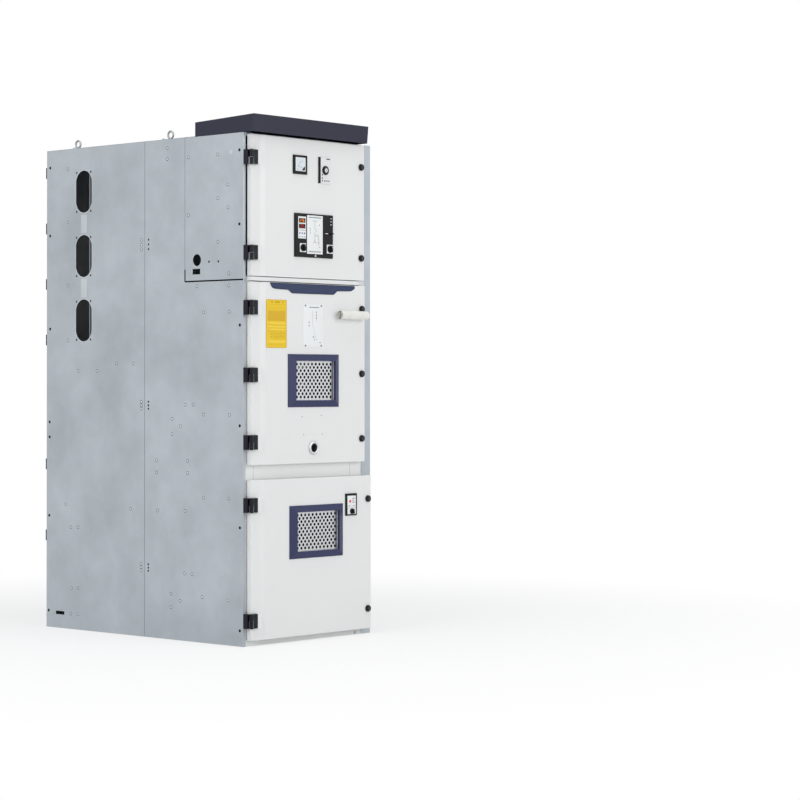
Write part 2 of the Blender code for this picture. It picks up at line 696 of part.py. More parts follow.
UPPER_CONTACT = 1.310
CONTACT_PITCH = 0.275
CONTACT_LEVELS = {"upper": UPPER_CONTACT, "lower": UPPER_CONTACT - CONTACT_PITCH}
CONTACT_HOLE = 0.055
PARTITION_FOOT = 0.700
PARTITION_SIDE = SEAM_FLANGE + GAP
PARTITION_FRONT = SEAM - GAP - SHEET
GUIDE_X = 0.276
GUIDE_WALL = 0.002
GUIDE_FOOT = 0.790
GUIDE_TOP = 1.560
SHUTTER_THICKNESS = 0.002
SHUTTER_HALF = 0.060
SHUTTER_FRONT = PARTITION_FRONT - GAP - SHUTTER_THICKNESS


def contact_partition():
    """Steel wall behind the breaker, with six contact openings and the shutter guides."""
    obj = finish("contact_partition",
                 block((LEFT + PARTITION_SIDE, PARTITION_FRONT, PARTITION_FOOT),
                       (RIGHT - PARTITION_SIDE, SEAM - GAP, HEIGHT - GAP)), GALVANISED)
    for level in CONTACT_LEVELS.values():
        for x in PHASES.values():
            cut(obj, rod((x, PARTITION_FRONT - OVERRUN, level), (x, SEAM + OVERRUN, level),
                         CONTACT_HOLE, ROUND))
    lip_y = SHUTTER_FRONT - GAP
    for side in (-1, 1):
        near = side * GUIDE_X
        far = side * (GUIDE_X + GUIDE_WALL)
        lip = side * (GUIDE_X - GUIDE_WALL)
        join(obj,
             block((min(near, far), lip_y - GUIDE_WALL, GUIDE_FOOT),
                   (max(near, far), PARTITION_FRONT + SHEET / 2, GUIDE_TOP)),
             block((min(lip, far), lip_y - GUIDE_WALL, GUIDE_FOOT),
                   (max(lip, far), lip_y, GUIDE_TOP)))
    return obj


def shutter(which):
    """Plate that covers three contact openings while the breaker is drawn back."""
    level = CONTACT_LEVELS[which]
    half = GUIDE_X - GAP
    return finish("shutter_" + which,
                  block((-half, SHUTTER_FRONT, level - SHUTTER_HALF),
                        (half, SHUTTER_FRONT + SHUTTER_THICKNESS, level + SHUTTER_HALF)),
                  GALVANISED)


BUSBAR_FLOOR = 1.172


def busbar_partition():
    """Horizontal wall between the busbar and the cable compartments."""
    return finish("busbar_partition",
                  block((LEFT + SHEET + GAP, SEAM + SHEET + GAP, BUSBAR_FLOOR - SHEET),
                        (RIGHT - SHEET - GAP, BACK - SHEET - 2 * GAP - REAR_FRAME_DEPTH,
                         BUSBAR_FLOOR)), GALVANISED)


TRUCK_HALF = 0.270
RAIL_WALL = 0.002
RAIL_HEIGHT = 0.020
RAIL_GAP = 0.001
FLOOR_FOOT = DIVIDER_TOP + GAP
FLOOR_TOP = FLOOR_FOOT + SHEET


def breaker_floor():
    """Floor of the breaker compartment with a guide rail along each side of the truck."""
    x0 = LEFT + LEFT_POST + GAP
    x1 = RELAY_BOX_RIGHT - RIGHT_POST - GAP
    y0 = FRONT + SHEET + GAP + FRAME_SKIN
    y1 = PARTITION_FRONT - GAP
    obj = finish("breaker_floor", block((x0, y0, FLOOR_FOOT), (x1, y1, FLOOR_TOP)), GALVANISED)
    for side in (-1, 1):
        near = side * (TRUCK_HALF + RAIL_GAP)
        far = side * (TRUCK_HALF + RAIL_GAP + RAIL_WALL)
        join(obj, block((min(near, far), y0 + FRAME_DEPTH, FLOOR_FOOT + SHEET / 2),
                        (max(near, far), y1 - FRAME_DEPTH, FLOOR_TOP + RAIL_HEIGHT)))
    return obj


# Contact boxes, branch bars and current transformers

BOX_PLATE = 0.012
BOX_PLATE_HALF_WIDTH = 0.268
BOX_PLATE_HALF_HEIGHT = 0.080
SPOUT_OUTER = 0.060
SPOUT_BORE = 0.049
SPOUT_LENGTH = 0.190
SPOUT_END_WALL = 0.014
CONTACT_RADIUS = 0.0175
CONTACT_DEPTH = 0.034
CONTACT_TIP = SEAM + CONTACT_DEPTH
BOX_END = SEAM + SPOUT_LENGTH


def contact_box(which):
    """Cast insulating moulding: a common plate and three spouts round the fixed contacts."""
    level = CONTACT_LEVELS[which]
    half_w = BOX_PLATE_HALF_WIDTH
    half_h = BOX_PLATE_HALF_HEIGHT
    seat = (SPOUT_OUTER + SPOUT_BORE) / 2
    turns = [2 * math.pi * (k + 0.5) / ROUND for k in range(ROUND)]
    holes = [[(x + seat * math.cos(t), SEAM, level + seat * math.sin(t)) for t in turns]
             for x in PHASES.values()]
    plate = rectangle(-half_w, half_w, level - half_h, level + half_h, SEAM)
    obj = finish(which + "_contact_box", prism(plate, (0, BOX_PLATE, 0), holes), EPOXY,
                 smooth=True)
    floor = SPOUT_LENGTH - SPOUT_END_WALL
    step = BOX_PLATE / 4
    profile = [(SPOUT_BORE, step), (SPOUT_BORE, floor), (CONTACT_RADIUS + GAP, floor),
               (CONTACT_RADIUS + GAP, SPOUT_LENGTH), (SPOUT_OUTER - step, SPOUT_LENGTH),
               (SPOUT_OUTER, step)]
    for x in PHASES.values():
        join(obj, turned_ring(profile, (x, SEAM, level), (0, 1, 0)))
    return obj


BAR_THICKNESS = 0.010
BAR_WIDTH = 0.060
BAR_STANDOFF = 0.012
BAR_FOOT_DROP = 0.040
PAD_HALF_HEIGHT = 0.050
PAD_FACE = BUSBAR_LINE - BAR_THICKNESS / 2


def branch_bar(phase):
    """Fixed contact of the upper box and the flat bar that rises to its busbar level."""
    x = PHASES[phase]
    level = BUSBAR_LEVELS[phase]
    contact = CONTACT_LEVELS["upper"]
    near = BOX_END + BAR_STANDOFF
    shelf = level - PAD_HALF_HEIGHT
    outline = [(near, contact - BAR_FOOT_DROP), (near + BAR_THICKNESS, contact - BAR_FOOT_DROP),
               (near + BAR_THICKNESS, shelf), (PAD_FACE, shelf),
               (PAD_FACE, level + PAD_HALF_HEIGHT),
               (PAD_FACE - BAR_THICKNESS, level + PAD_HALF_HEIGHT),
               (PAD_FACE - BAR_THICKNESS, shelf + BAR_THICKNESS), (near, shelf + BAR_THICKNESS)]
    ring = [(x - BAR_WIDTH / 2, y, z) for y, z in outline]
    obj = finish("branch_bar_" + phase, prism(ring, (BAR_WIDTH, 0, 0)), COPPER, smooth=True)
    return join(obj, rod((x, CONTACT_TIP, contact), (x, near + BAR_THICKNESS / 2, contact),
                         CONTACT_RADIUS, ROUND))


TRANSFORMER_HALF_WIDTH = 0.074
TRANSFORMER_DEPTH = 0.160
TRANSFORMER_HEIGHT = 0.215
TRANSFORMER_STEP = 0.020
CABLE_PAD_LEVEL = 0.870
TAIL_REACH = 0.050
RIB_DEPTH = 0.008
RIB_SHARES = (0.30, 0.50, 0.70)


def current_transformer(phase):
    """Cast block hung under the partition, with its primary bar from the lower contact."""
    x = PHASES[phase]
    level = CONTACT_LEVELS["lower"]
    y0 = BOX_END + BAR_STANDOFF
    y1 = y0 + TRANSFORMER_DEPTH
    top = BUSBAR_FLOOR - SHEET - GAP
    foot = top - TRANSFORMER_HEIGHT
    half = TRANSFORMER_HALF_WIDTH
    step = TRANSFORMER_STEP
    outline = [(y0, foot + step), (y0 + step, foot), (y1 - step, foot), (y1, foot + step),
               (y1, top - step), (y1 - step, top), (y0 + step, top), (y0, top - step)]
    obj = finish("current_transformer_" + phase,
                 prism([(x - half, y, z) for y, z in outline], (2 * half, 0, 0)), EPOXY,
                 smooth=True)
    for side in (-1, 1):
        near = x + side * (half - RIB_DEPTH)
        far = x + side * (half + OVERRUN)
        for share in RIB_SHARES:
            centre = y0 + share * TRANSFORMER_DEPTH
            cut(obj, block((min(near, far), centre - RIB_DEPTH, foot - OVERRUN),
                           (max(near, far), centre + RIB_DEPTH, top - step)))
    tail = y1 + TAIL_REACH
    bar = [(y1 - step, level - BAR_THICKNESS / 2), (tail, level - BAR_THICKNESS / 2),
           (tail, CABLE_PAD_LEVEL - PAD_HALF_HEIGHT),
           (tail + BAR_THICKNESS, CABLE_PAD_LEVEL - PAD_HALF_HEIGHT),
           (tail + BAR_THICKNESS, level + BAR_THICKNESS / 2), (y1 - step, level + BAR_THICKNESS / 2)]
    join(obj, rod((x, CONTACT_TIP, level), (x, y0 + step, level), CONTACT_RADIUS, ROUND),
         prism([(x - BAR_WIDTH / 2, y, z) for y, z in bar], (BAR_WIDTH, 0, 0)))
    return obj


# Door pans and hinges

DOOR_SKIN = 0.002
LOCK_SHAFT = 0.006
LOCK_HEAD = 0.0145
LOCK_HEAD_DEPTH = 0.009
LOCK_GROOVE = 0.003
LOCK_TONGUE_LENGTH = 0.024
LOCK_TONGUE_WIDTH = 0.008
LOCK_TONGUE_THICKNESS = 0.003
LOCK_INSET = 0.0215
RELAY_LOCK_LIFT = 0.100
RELAY_LOCK_DROP = 0.099
BREAKER_LOCK_LIFT = 0.103
BREAKER_LOCK_DROP = 0.104
CABLE_LOCK_LIFT = 0.089
CABLE_LOCK_DROP = 0.104
FACE = FRONT - DOOR_FACE_DEPTH
STRIP = FRONT - DOOR_EDGE_DEPTH


def lock_places(right, highest, lowest, names):
    """Lock places down the free edge of a door, by name."""
    levels = spread(highest, lowest, len(names))
    return {name: (right - LOCK_INSET, level) for name, level in zip(names, levels)}


RELAY_LOCKS = lock_places(RELAY_DOOR_RIGHT, RELAY_DOOR_TOP - RELAY_LOCK_DROP,
                          RELAY_DOOR_FOOT + RELAY_LOCK_LIFT, ("upper", "lower"))
BREAKER_LOCKS = lock_places(BREAKER_DOOR_RIGHT, BREAKER_DOOR_TOP - BREAKER_LOCK_DROP,
                            BREAKER_DOOR_FOOT + BREAKER_LOCK_LIFT,
                            ("upper", "middle", "lower"))
CABLE_LOCKS = lock_places(CABLE_DOOR_RIGHT, CABLE_DOOR_TOP - CABLE_LOCK_DROP,
                          CABLE_DOOR_FOOT + CABLE_LOCK_LIFT, ("upper", "lower"))


def door_outline(x0, x1, z, wall):
    """Plan outline of a front door, drawn inwards by a wall: edge strip, slope and flat face."""
    back = FRONT - DOOR_BACK_STANDOFF if wall == 0 else FRONT + OVERRUN
    strip_end = x0 + DOOR_EDGE_STRIP + wall
    return [(x0 + wall, back, z), (x0 + wall, STRIP + wall, z), (strip_end, STRIP + wall, z),
            (strip_end + DOOR_SLOPE, FACE + wall, z), (x1 - wall, FACE + wall, z),
            (x1 - wall, back, z)]


def moving_knuckle(level, axis, edge_x, leaf_right, leaf_y, height, radius):
    """Upper knuckle with its leaf on the door, and the bore for the pin."""
    x, y = axis
    low = level - height / 2
    mid = level + KNUCKLE_GAP / 2
    top = level + height / 2
    near = min(leaf_y)
    leaf_top = top - KNUCKLE_GAP
    leaf_mid = mid + KNUCKLE_GAP
    leaf = [(x, near, leaf_mid), (x, near, leaf_top), (leaf_right, near, leaf_top),
            (leaf_right, near, low), (edge_x, near, low), (edge_x, near, leaf_mid)]
    added = (rod((x, y, mid), (x, y, top), radius, COARSE),
             prism(leaf, (0, max(leaf_y) - near, 0)))
    bore = rod((x, y, low), (x, y, top + OVERRUN), PIN_RADIUS + HINGE_BORE_CLEARANCE, COARSE)
    return added, bore


def front_door(name, right, foot, top, hinges, locks):
    """Folded door pan with its hinge halves and the holes for its lock shafts."""
    obj = finish(name, prism(door_outline(DOOR_LEFT, right, foot, 0), (0, 0, top - foot)),
                 DOOR_PAINT)
    inner = door_outline(DOOR_LEFT, right, foot + DOOR_SKIN, DOOR_SKIN)
    cut(obj, prism(inner, (0, 0, top - foot - 2 * DOOR_SKIN)))
    leaf_y = (STRIP + DOOR_SKIN / 2, FRONT - HINGE_AXIS_DEPTH - KNUCKLE_RADIUS / 2)
    for level in hinges:
        added, bore = moving_knuckle(level, FRONT_AXIS, DOOR_LEFT + HINGE_EDGE,
                                     DOOR_LEFT + HINGE_LEAF_REACH, leaf_y, HINGE_HEIGHT,
                                     KNUCKLE_RADIUS)
        join(obj, *added)
        cut(obj, bore)
    for x, z in locks.values():
        cut(obj, rod((x, FACE - OVERRUN, z), (x, FACE + OVERRUN, z), LOCK_SHAFT + GAP, COARSE))
    return hang_on(obj, (*FRONT_AXIS, (foot + top) / 2))


def lock_knob(name, x, z):
    """Round knob with a grip groove; its shaft turns a tongue inside the door."""
    front = FACE - GAP
    depth = LOCK_HEAD_DEPTH
    tongue_y = FRONT - DOOR_BACK_STANDOFF - LOCK_TONGUE_THICKNESS
    shaft_end = front - tongue_y + LOCK_TONGUE_THICKNESS / 2
    head = turned([(0, shaft_end), (LOCK_SHAFT, shaft_end), (LOCK_SHAFT, 0), (LOCK_HEAD, 0),
                   (LOCK_HEAD, depth / 2), (LOCK_HEAD - depth / 4, depth), (0, depth)],
                  (x, front, z), (0, -1, 0), ROUND)
    obj = finish(name, head, BLACK_PLASTIC, smooth=True)
    join(obj,
         block((x - LOCK_TONGUE_WIDTH / 2, tongue_y - LOCK_TONGUE_THICKNESS,
                z - LOCK_TONGUE_LENGTH / 2),
               (x + LOCK_TONGUE_WIDTH / 2, tongue_y, z + LOCK_TONGUE_LENGTH / 2)))
    cut(obj, block((x - LOCK_HEAD - OVERRUN, front - depth - OVERRUN, z - LOCK_GROOVE / 2),
                   (x + LOCK_HEAD + OVERRUN, front - depth * 2 / 3, z + LOCK_GROOVE / 2)))
    return hang_on(obj, (x, front, z))


# Instruments on the relay door

BEZEL_DEPTH = 0.007
BEZEL_CHAMFER = 0.002
BEZEL_LAP = 0.006
METER = {"top": RELAY_DOOR_TOP, "drop": 0.072, "height": 0.083,
         "inset": 0.248, "width": 0.086, "behind": 0.050}
CLIMATE = {"top": RELAY_DOOR_TOP, "drop": 0.070, "height": 0.118,
           "inset": 0.408, "width": 0.075, "behind": 0.045}
STATUS = {"top": RELAY_DOOR_TOP, "drop": 0.325, "height": 0.191,
          "inset": 0.256, "width": 0.241, "behind": 0.060}
WINDOW_DEPTH = 0.0015
SELECTOR_INSET = 0.049
SELECTOR_PITCH = 0.170
SELECTOR_LIFT = 0.041
SELECTOR_RADIUS = 0.016
SELECTOR_DEPTH = 0.010
GRIP_WIDTH = 0.009
GRIP_TIP_SHARE = 2 / 3
GRIP_LENGTH_SHARE = 0.9
SPINDLE_REACH = 0.0105


def corners(place):
    """Edges (x0, x1, z0, z1) of a piece set into a door, from its inset and its drop."""
    x0 = DOOR_LEFT + place["inset"]
    z1 = place["top"] - place["drop"]
    return x0, x0 + place["width"], z1 - place["height"], z1


def selector_places():
    """Centres of the two rotary selectors in the status unit's lower corners."""
    x0, _, z0, _ = corners(STATUS)
    left = x0 + SELECTOR_INSET
    level = z0 + SELECTOR_LIFT
    return {"left": (left, level), "right": (left + SELECTOR_PITCH, level)}


def cutout(place):
    """Opening in a door for the body of an instrument."""
    x0, x1, z0, z1 = corners(place)
    return block((x0 + BEZEL_LAP, FACE - OVERRUN, z0 + BEZEL_LAP),
                 (x1 - BEZEL_LAP, FACE + DOOR_SKIN + OVERRUN / 2, z1 - BEZEL_LAP))


def instrument(name, place, finish_material):
    """Chamfered bezel in front of the door and a body that reaches in through the cut-out."""
    x0, x1, z0, z1 = corners(place)
    back = FACE - GAP
    front = back - BEZEL_DEPTH
    c = BEZEL_CHAMFER
    obj = finish(name, loft([rectangle(x0, x1, z0, z1, back),
                             rectangle(x0, x1, z0, z1, front + c),
                             rectangle(x0 + c, x1 - c, z0 + c, z1 - c, front)]), finish_material)
    lap = BEZEL_LAP + GAP
    join(obj, block((x0 + lap, back - BEZEL_DEPTH / 2, z0 + lap),
                    (x1 - lap, FACE + place["behind"], z1 - lap)))
    return obj


def window(place, shares, depth):
    """Recess in an instrument's face, given by its shares of the bezel's width and height."""
    x0, x1, z0, z1 = corners(place)
    left, right, low, high = shares
    front = FACE - GAP - BEZEL_DEPTH
    return block((x0 + left * (x1 - x0), front - OVERRUN, z0 + low * (z1 - z0)),
                 (x0 + right * (x1 - x0), front + depth, z0 + high * (z1 - z0)))


METER_WINDOW_SHARES = (0.14, 0.86, 0.16, 0.88)
STATUS_SCREEN_SHARES = (0.08, 0.29, 0.42, 0.93)
STATUS_MIMIC_SHARES = (0.31, 0.725, 0.08, 0.97)


def relay_instruments():
    """Meter, climate controller and status unit, each with its recessed face."""
    meter = instrument("panel_meter", METER, BLACK_PLASTIC)
    cut(meter, window(METER, METER_WINDOW_SHARES, WINDOW_DEPTH))
    climate = instrument("climate_controller", CLIMATE, PALE_PLASTIC)
    x0, x1, z0, z1 = corners(CLIMATE)
    dial_x = (x0 + x1) / 2
    dial_z = (z0 + z1) / 2
    front = FACE - GAP - BEZEL_DEPTH
    join(climate, rod((dial_x, front + GAP, dial_z), (dial_x, front - BEZEL_DEPTH, dial_z),
                      SELECTOR_RADIUS, ROUND))
    status = instrument("status_unit", STATUS, BLACK_PLASTIC)
    cut(status, window(STATUS, STATUS_SCREEN_SHARES, WINDOW_DEPTH),
        window(STATUS, STATUS_MIMIC_SHARES, WINDOW_DEPTH))
    for x, z in selector_places().values():
        cut(status, rod((x, front - OVERRUN, z), (x, front + BEZEL_DEPTH * 2, z),
                        LOCK_SHAFT / 2 + GAP, COARSE))
    return meter, climate, status


def rotary_knob(name, x, z, radius, plane_y):
    """Round base with a raised grip bar, on a short spindle."""
    obj = finish(name, turned([(0, 0), (radius, 0), (radius, SELECTOR_DEPTH / 2),
                               (radius - BEZEL_CHAMFER, SELECTOR_DEPTH / 2 + BEZEL_CHAMFER),
                               (0, SELECTOR_DEPTH / 2 + BEZEL_CHAMFER)],
                              (x, plane_y, z), (0, -1, 0), ROUND), BLACK_PLASTIC, smooth=True)
    tip = plane_y - SELECTOR_DEPTH - BEZEL_DEPTH
    length = radius - BEZEL_CHAMFER
    half = GRIP_WIDTH / 2
    wide = rectangle(x - half, x + half, z - length, z + length, plane_y - SELECTOR_DEPTH / 4)
    half *= GRIP_TIP_SHARE
    length *= GRIP_LENGTH_SHARE
    slim = rectangle(x - half, x + half, z - length, z + length, tip)
    return hang_on(join(obj, loft([wide, slim]),
                        rod((x, plane_y - SELECTOR_DEPTH / 4, z),
                            (x, plane_y + SPINDLE_REACH, z), LOCK_SHAFT / 2, COARSE)),
                   (x, plane_y, z))


# Vent frames and perforated grilles

VENT_BEVEL_HEIGHT = 0.013
VENT_EDGE = 0.003
GRILLE_LAP = 0.010
GRILLE_SHEET = 0.0015
HOLE_RADIUS = 0.0072
HOLE_PITCH = 0.0236
HOLE_ROW = 0.0144
HOLE_SIDES = 6
HOLE_MARGIN = 0.003
BREAKER_VENT = {"top": BREAKER_DOOR_TOP, "drop": 0.309, "height": 0.231,
                "inset": 0.218, "width": 0.319,
                "left": 0.042, "right": 0.030, "sill": 0.030, "head": 0.029}
CABLE_VENT = {"top": CABLE_DOOR_TOP, "drop": 0.119, "height": 0.231,
              "inset": 0.228, "width": 0.336,
              "left": 0.040, "right": 0.032, "sill": 0.031, "head": 0.029}


def vent_window(vent):
    """Edges of the window inside a vent frame."""
    x0, x1, z0, z1 = corners(vent)
    return x0 + vent["left"], x1 - vent["right"], z0 + vent["sill"], z1 - vent["head"]


def vent_opening(vent):
    """Opening in a door behind a vent frame."""
    x0, x1, z0, z1 = vent_window(vent)
    return block((x0, FACE - OVERRUN, z0), (x1, FACE + DOOR_SKIN + OVERRUN / 2, z1))


def vent_frame(name, vent):
    """Mitred frame whose four faces slope up from its rim to the window."""
    back = FACE - GAP
    outer = corners(vent)
    inner = vent_window(vent)
    rings = [rectangle(*outer, back), rectangle(*outer, back - VENT_EDGE),
             rectangle(*inner, back - VENT_BEVEL_HEIGHT), rectangle(*inner, back)]
    return finish(name, loft(rings, looped=True), NAVY_PAINT)


def grille(name, vent):
    """Perforated sheet behind the door skin: staggered rows of six-sided holes."""
    x0, x1, z0, z1 = vent_window(vent)
    y = FACE + DOOR_SKIN + GAP
    edge = 2 * (HOLE_RADIUS + HOLE_MARGIN)
    rows = int((z1 - z0 - edge) / HOLE_ROW) + 1
    columns = int((x1 - x0 - edge) / HOLE_PITCH) + 1
    first_x = (x0 + x1 - (columns - 1) * HOLE_PITCH) / 2
    first_z = (z0 + z1 - (rows - 1) * HOLE_ROW) / 2
    turns = [2 * math.pi * (k + 0.5) / HOLE_SIDES for k in range(HOLE_SIDES)]
    holes = []
    for row in range(rows):
        shift = row % 2
        for column in range(columns - shift):
            centre_x = first_x + (column + shift / 2) * HOLE_PITCH
            centre_z = first_z + row * HOLE_ROW
            holes.append([(centre_x + HOLE_RADIUS * math.cos(t), y,
                           centre_z + HOLE_RADIUS * math.sin(t)) for t in turns])
    outer = rectangle(x0 - GRILLE_LAP, x1 + GRILLE_LAP, z0 - GRILLE_LAP, z1 + GRILLE_LAP, y)
    return finish(name, prism(outer, (0, GRILLE_SHEET, 0), holes), BRIGHT_STEEL)


# Smaller pieces on the doors

CRANK_LIFT = 0.067
CRANK_PLACE = (0, BREAKER_DOOR_FOOT + CRANK_LIFT)
CRANK_RING_RADIUS = 0.030
CRANK_BORE = 0.019
CRANK_RING_DEPTH = 0.007
CRANK_SLEEVE = 0.0215
CRANK_SLEEVE_REACH = 0.020


def crank_ring():
    """Turned guide ring for the racking crank, with a sleeve through the door."""
    x, z = CRANK_PLACE
    profile = [(CRANK_BORE, -CRANK_SLEEVE_REACH), (CRANK_SLEEVE, -CRANK_SLEEVE_REACH),
               (CRANK_SLEEVE, 0), (CRANK_RING_RADIUS, 0),
               (CRANK_RING_RADIUS, CRANK_RING_DEPTH / 2),
               (CRANK_BORE + BEZEL_CHAMFER * 2, CRANK_RING_DEPTH), (CRANK_BORE, CRANK_RING_DEPTH)]
    return finish("crank_ring", turned_ring(profile, (x, FACE - GAP, z), (0, -1, 0), FINE),
                  BRIGHT_STEEL, smooth=True)


ROLL_RADIUS = 0.020
ROLL_INSET = 0.012
ROLL_LENGTH = 0.175
ROLL_DROP = 0.133
ROLL_RIGHT = BREAKER_DOOR_RIGHT - ROLL_INSET
ROLL_LEVEL = BREAKER_DOOR_TOP - ROLL_DROP
ROLL_BORE = 0.006
ROLL_BORE_DEPTH = 0.030
ROLL_CLIP = 0.004


def document_roll():
    """Rolled sheet that hangs level on the breaker door, on a small backing clip."""
    y = FACE - GAP - ROLL_CLIP - ROLL_RADIUS
    length = ROLL_LENGTH
    profile = [(0, 0), (ROLL_RADIUS, 0), (ROLL_RADIUS, length), (ROLL_BORE, length),
               (ROLL_BORE, length - ROLL_BORE_DEPTH), (0, length - ROLL_BORE_DEPTH)]
    obj = finish("document_roll", turned(profile, (ROLL_RIGHT, y, ROLL_LEVEL), (-1, 0, 0), ROUND),
                 PAPER, smooth=True)
    middle = ROLL_RIGHT - ROLL_LENGTH / 2
    return join(obj, block((middle - ROLL_RADIUS, y + ROLL_RADIUS / 2, ROLL_LEVEL - ROLL_CLIP),
                           (middle + ROLL_RADIUS, FACE - GAP, ROLL_LEVEL + ROLL_CLIP)))


HEATER = {"top": CABLE_DOOR_TOP, "drop": 0.077, "height": 0.098,
          "inset": 0.581, "width": 0.072, "behind": 0.040}
HEATER_WINDOW_SHARES = (0.12, 0.88, 0.34, 0.90)
HEATER_KNOB_LIFT = 0.019
HEATER_KNOB = (DOOR_LEFT + HEATER["inset"] + HEATER["width"] / 2,
               HEATER["top"] - HEATER["drop"] - HEATER["height"] + HEATER_KNOB_LIFT)
HEATER_KNOB_RADIUS = 0.012


def heater_switch():
    """Switch unit of the anti-condensation heater, with a recessed face."""
    obj = instrument("heater_switch", HEATER, BLACK_PLASTIC)
    front = FACE - GAP - BEZEL_DEPTH
    cut(obj, window(HEATER, HEATER_WINDOW_SHARES, WINDOW_DEPTH),
        rod((HEATER_KNOB[0], front - OVERRUN, HEATER_KNOB[1]),
            (HEATER_KNOB[0], front + BEZEL_DEPTH * 2, HEATER_KNOB[1]), LOCK_SHAFT / 2 + GAP,
            COARSE))
    return obj


# Withdrawable breaker

TRUCK_INSET = 0.060
TRUCK_LENGTH = 0.350
TRUCK_CLEARANCE = 0.0117
TRUCK_HEIGHT = 0.076
TRUCK_FRONT = FRONT + TRUCK_INSET
TRUCK_BACK = TRUCK_FRONT + TRUCK_LENGTH
TRUCK_FOOT = FLOOR_TOP + TRUCK_CLEARANCE
TRUCK_TOP = TRUCK_FOOT + TRUCK_HEIGHT
TRUCK_WALL = 0.003
WHEEL_RADIUS = 0.016
WHEEL_WIDTH = 0.010
WHEEL_INSET = 0.050
SOCKET_OUTER = 0.016
SOCKET_BORE = 0.009
SOCKET_REACH = 0.020
HOUSING_HALF = 0.230
HOUSING_INSET = 0.010
HOUSING_DEPTH = 0.220
HOUSING_FRONT = TRUCK_FRONT + HOUSING_INSET
HOUSING_BACK = HOUSING_FRONT + HOUSING_DEPTH
HOUSING_TOP = 1.420
HOUSING_WALL = 0.003
HOUSING_EDGE = 0.012
PANEL_SHARES = (0.22, 0.78, 0.30, 0.86)
PANEL_DEPTH = 0.004
POLE_STANDOFF = 0.060
POLE_LINE = HOUSING_BACK + POLE_STANDOFF
POLE_RADIUS = 0.046
POLE_NECK = 0.038
POLE_FOOT = 0.930
POLE_TOP = 1.425
POLE_RIBS = 4
ARM_RADIUS = 0.021
TULIP_RADIUS = 0.033
TULIP_BORE = 0.0190
TULIP_DEPTH = 0.058
TULIP_LENGTH = 0.066
TULIP_TAPER = 0.013
ARM_CLEARANCE = 0.115
ARM_TIP = SHUTTER_FRONT - ARM_CLEARANCE
POLE_LUG_HALF = 0.028
POLE_LUG_FOOT = 1.120
POLE_LUG_TOP = 1.220


def truck_chassis():
    """Tray on four wheels with the socket of the racking screw in its front."""
    obj = finish("truck_chassis", block((-TRUCK_HALF, TRUCK_FRONT, TRUCK_FOOT),
                                        (TRUCK_HALF, TRUCK_BACK, TRUCK_TOP)), GALVANISED)
    cut(obj, block((-TRUCK_HALF + TRUCK_WALL, TRUCK_FRONT + TRUCK_WALL, TRUCK_FOOT - OVERRUN),
                   (TRUCK_HALF - TRUCK_WALL, TRUCK_BACK - TRUCK_WALL, TRUCK_TOP - TRUCK_WALL)))
    x, z = CRANK_PLACE
    join(obj, turned([(0, 0), (SOCKET_OUTER, 0), (SOCKET_OUTER, SOCKET_REACH),
                      (SOCKET_BORE, SOCKET_REACH), (SOCKET_BORE, TRUCK_WALL), (0, TRUCK_WALL)],
                     (x, TRUCK_FRONT + TRUCK_WALL / 2, z), (0, -1, 0), ROUND))
    wheel_z = FLOOR_TOP + GAP + WHEEL_RADIUS
    for side in (-1, 1):
        inner = side * (TRUCK_HALF - TRUCK_WALL / 2)
        for y in (TRUCK_FRONT + WHEEL_INSET, TRUCK_BACK - WHEEL_INSET):
            join(obj, rod((inner - side * WHEEL_WIDTH, y, wheel_z), (inner, y, wheel_z),
                          WHEEL_RADIUS, COARSE))
    return obj


def breaker_housing():
    """Mechanism case: a folded box with rounded front edges and a recessed operating panel."""
    z0 = TRUCK_TOP + GAP
    e = HOUSING_EDGE
    full = (-HOUSING_HALF, HOUSING_HALF, z0, HOUSING_TOP)
    slim = (-HOUSING_HALF + e, HOUSING_HALF - e, z0 + e, HOUSING_TOP - e)
    obj = finish("breaker_housing", loft([rectangle(*full, HOUSING_BACK),
                                          rectangle(*full, HOUSING_FRONT + e),
                                          rectangle(*slim, HOUSING_FRONT)]), NAVY_PAINT)
    wall = HOUSING_WALL
    cut(obj, block((-HOUSING_HALF + wall, HOUSING_FRONT + e + wall, z0 - OVERRUN),
                   (HOUSING_HALF - wall, HOUSING_BACK - wall, HOUSING_TOP - wall)))
    width = 2 * HOUSING_HALF
    height = HOUSING_TOP - z0
    left, right, low, high = PANEL_SHARES
    return cut(obj, block((-HOUSING_HALF + left * width, HOUSING_FRONT - OVERRUN,
                           z0 + low * height),
                          (-HOUSING_HALF + right * width, HOUSING_FRONT + PANEL_DEPTH,
                           z0 + high * height)))


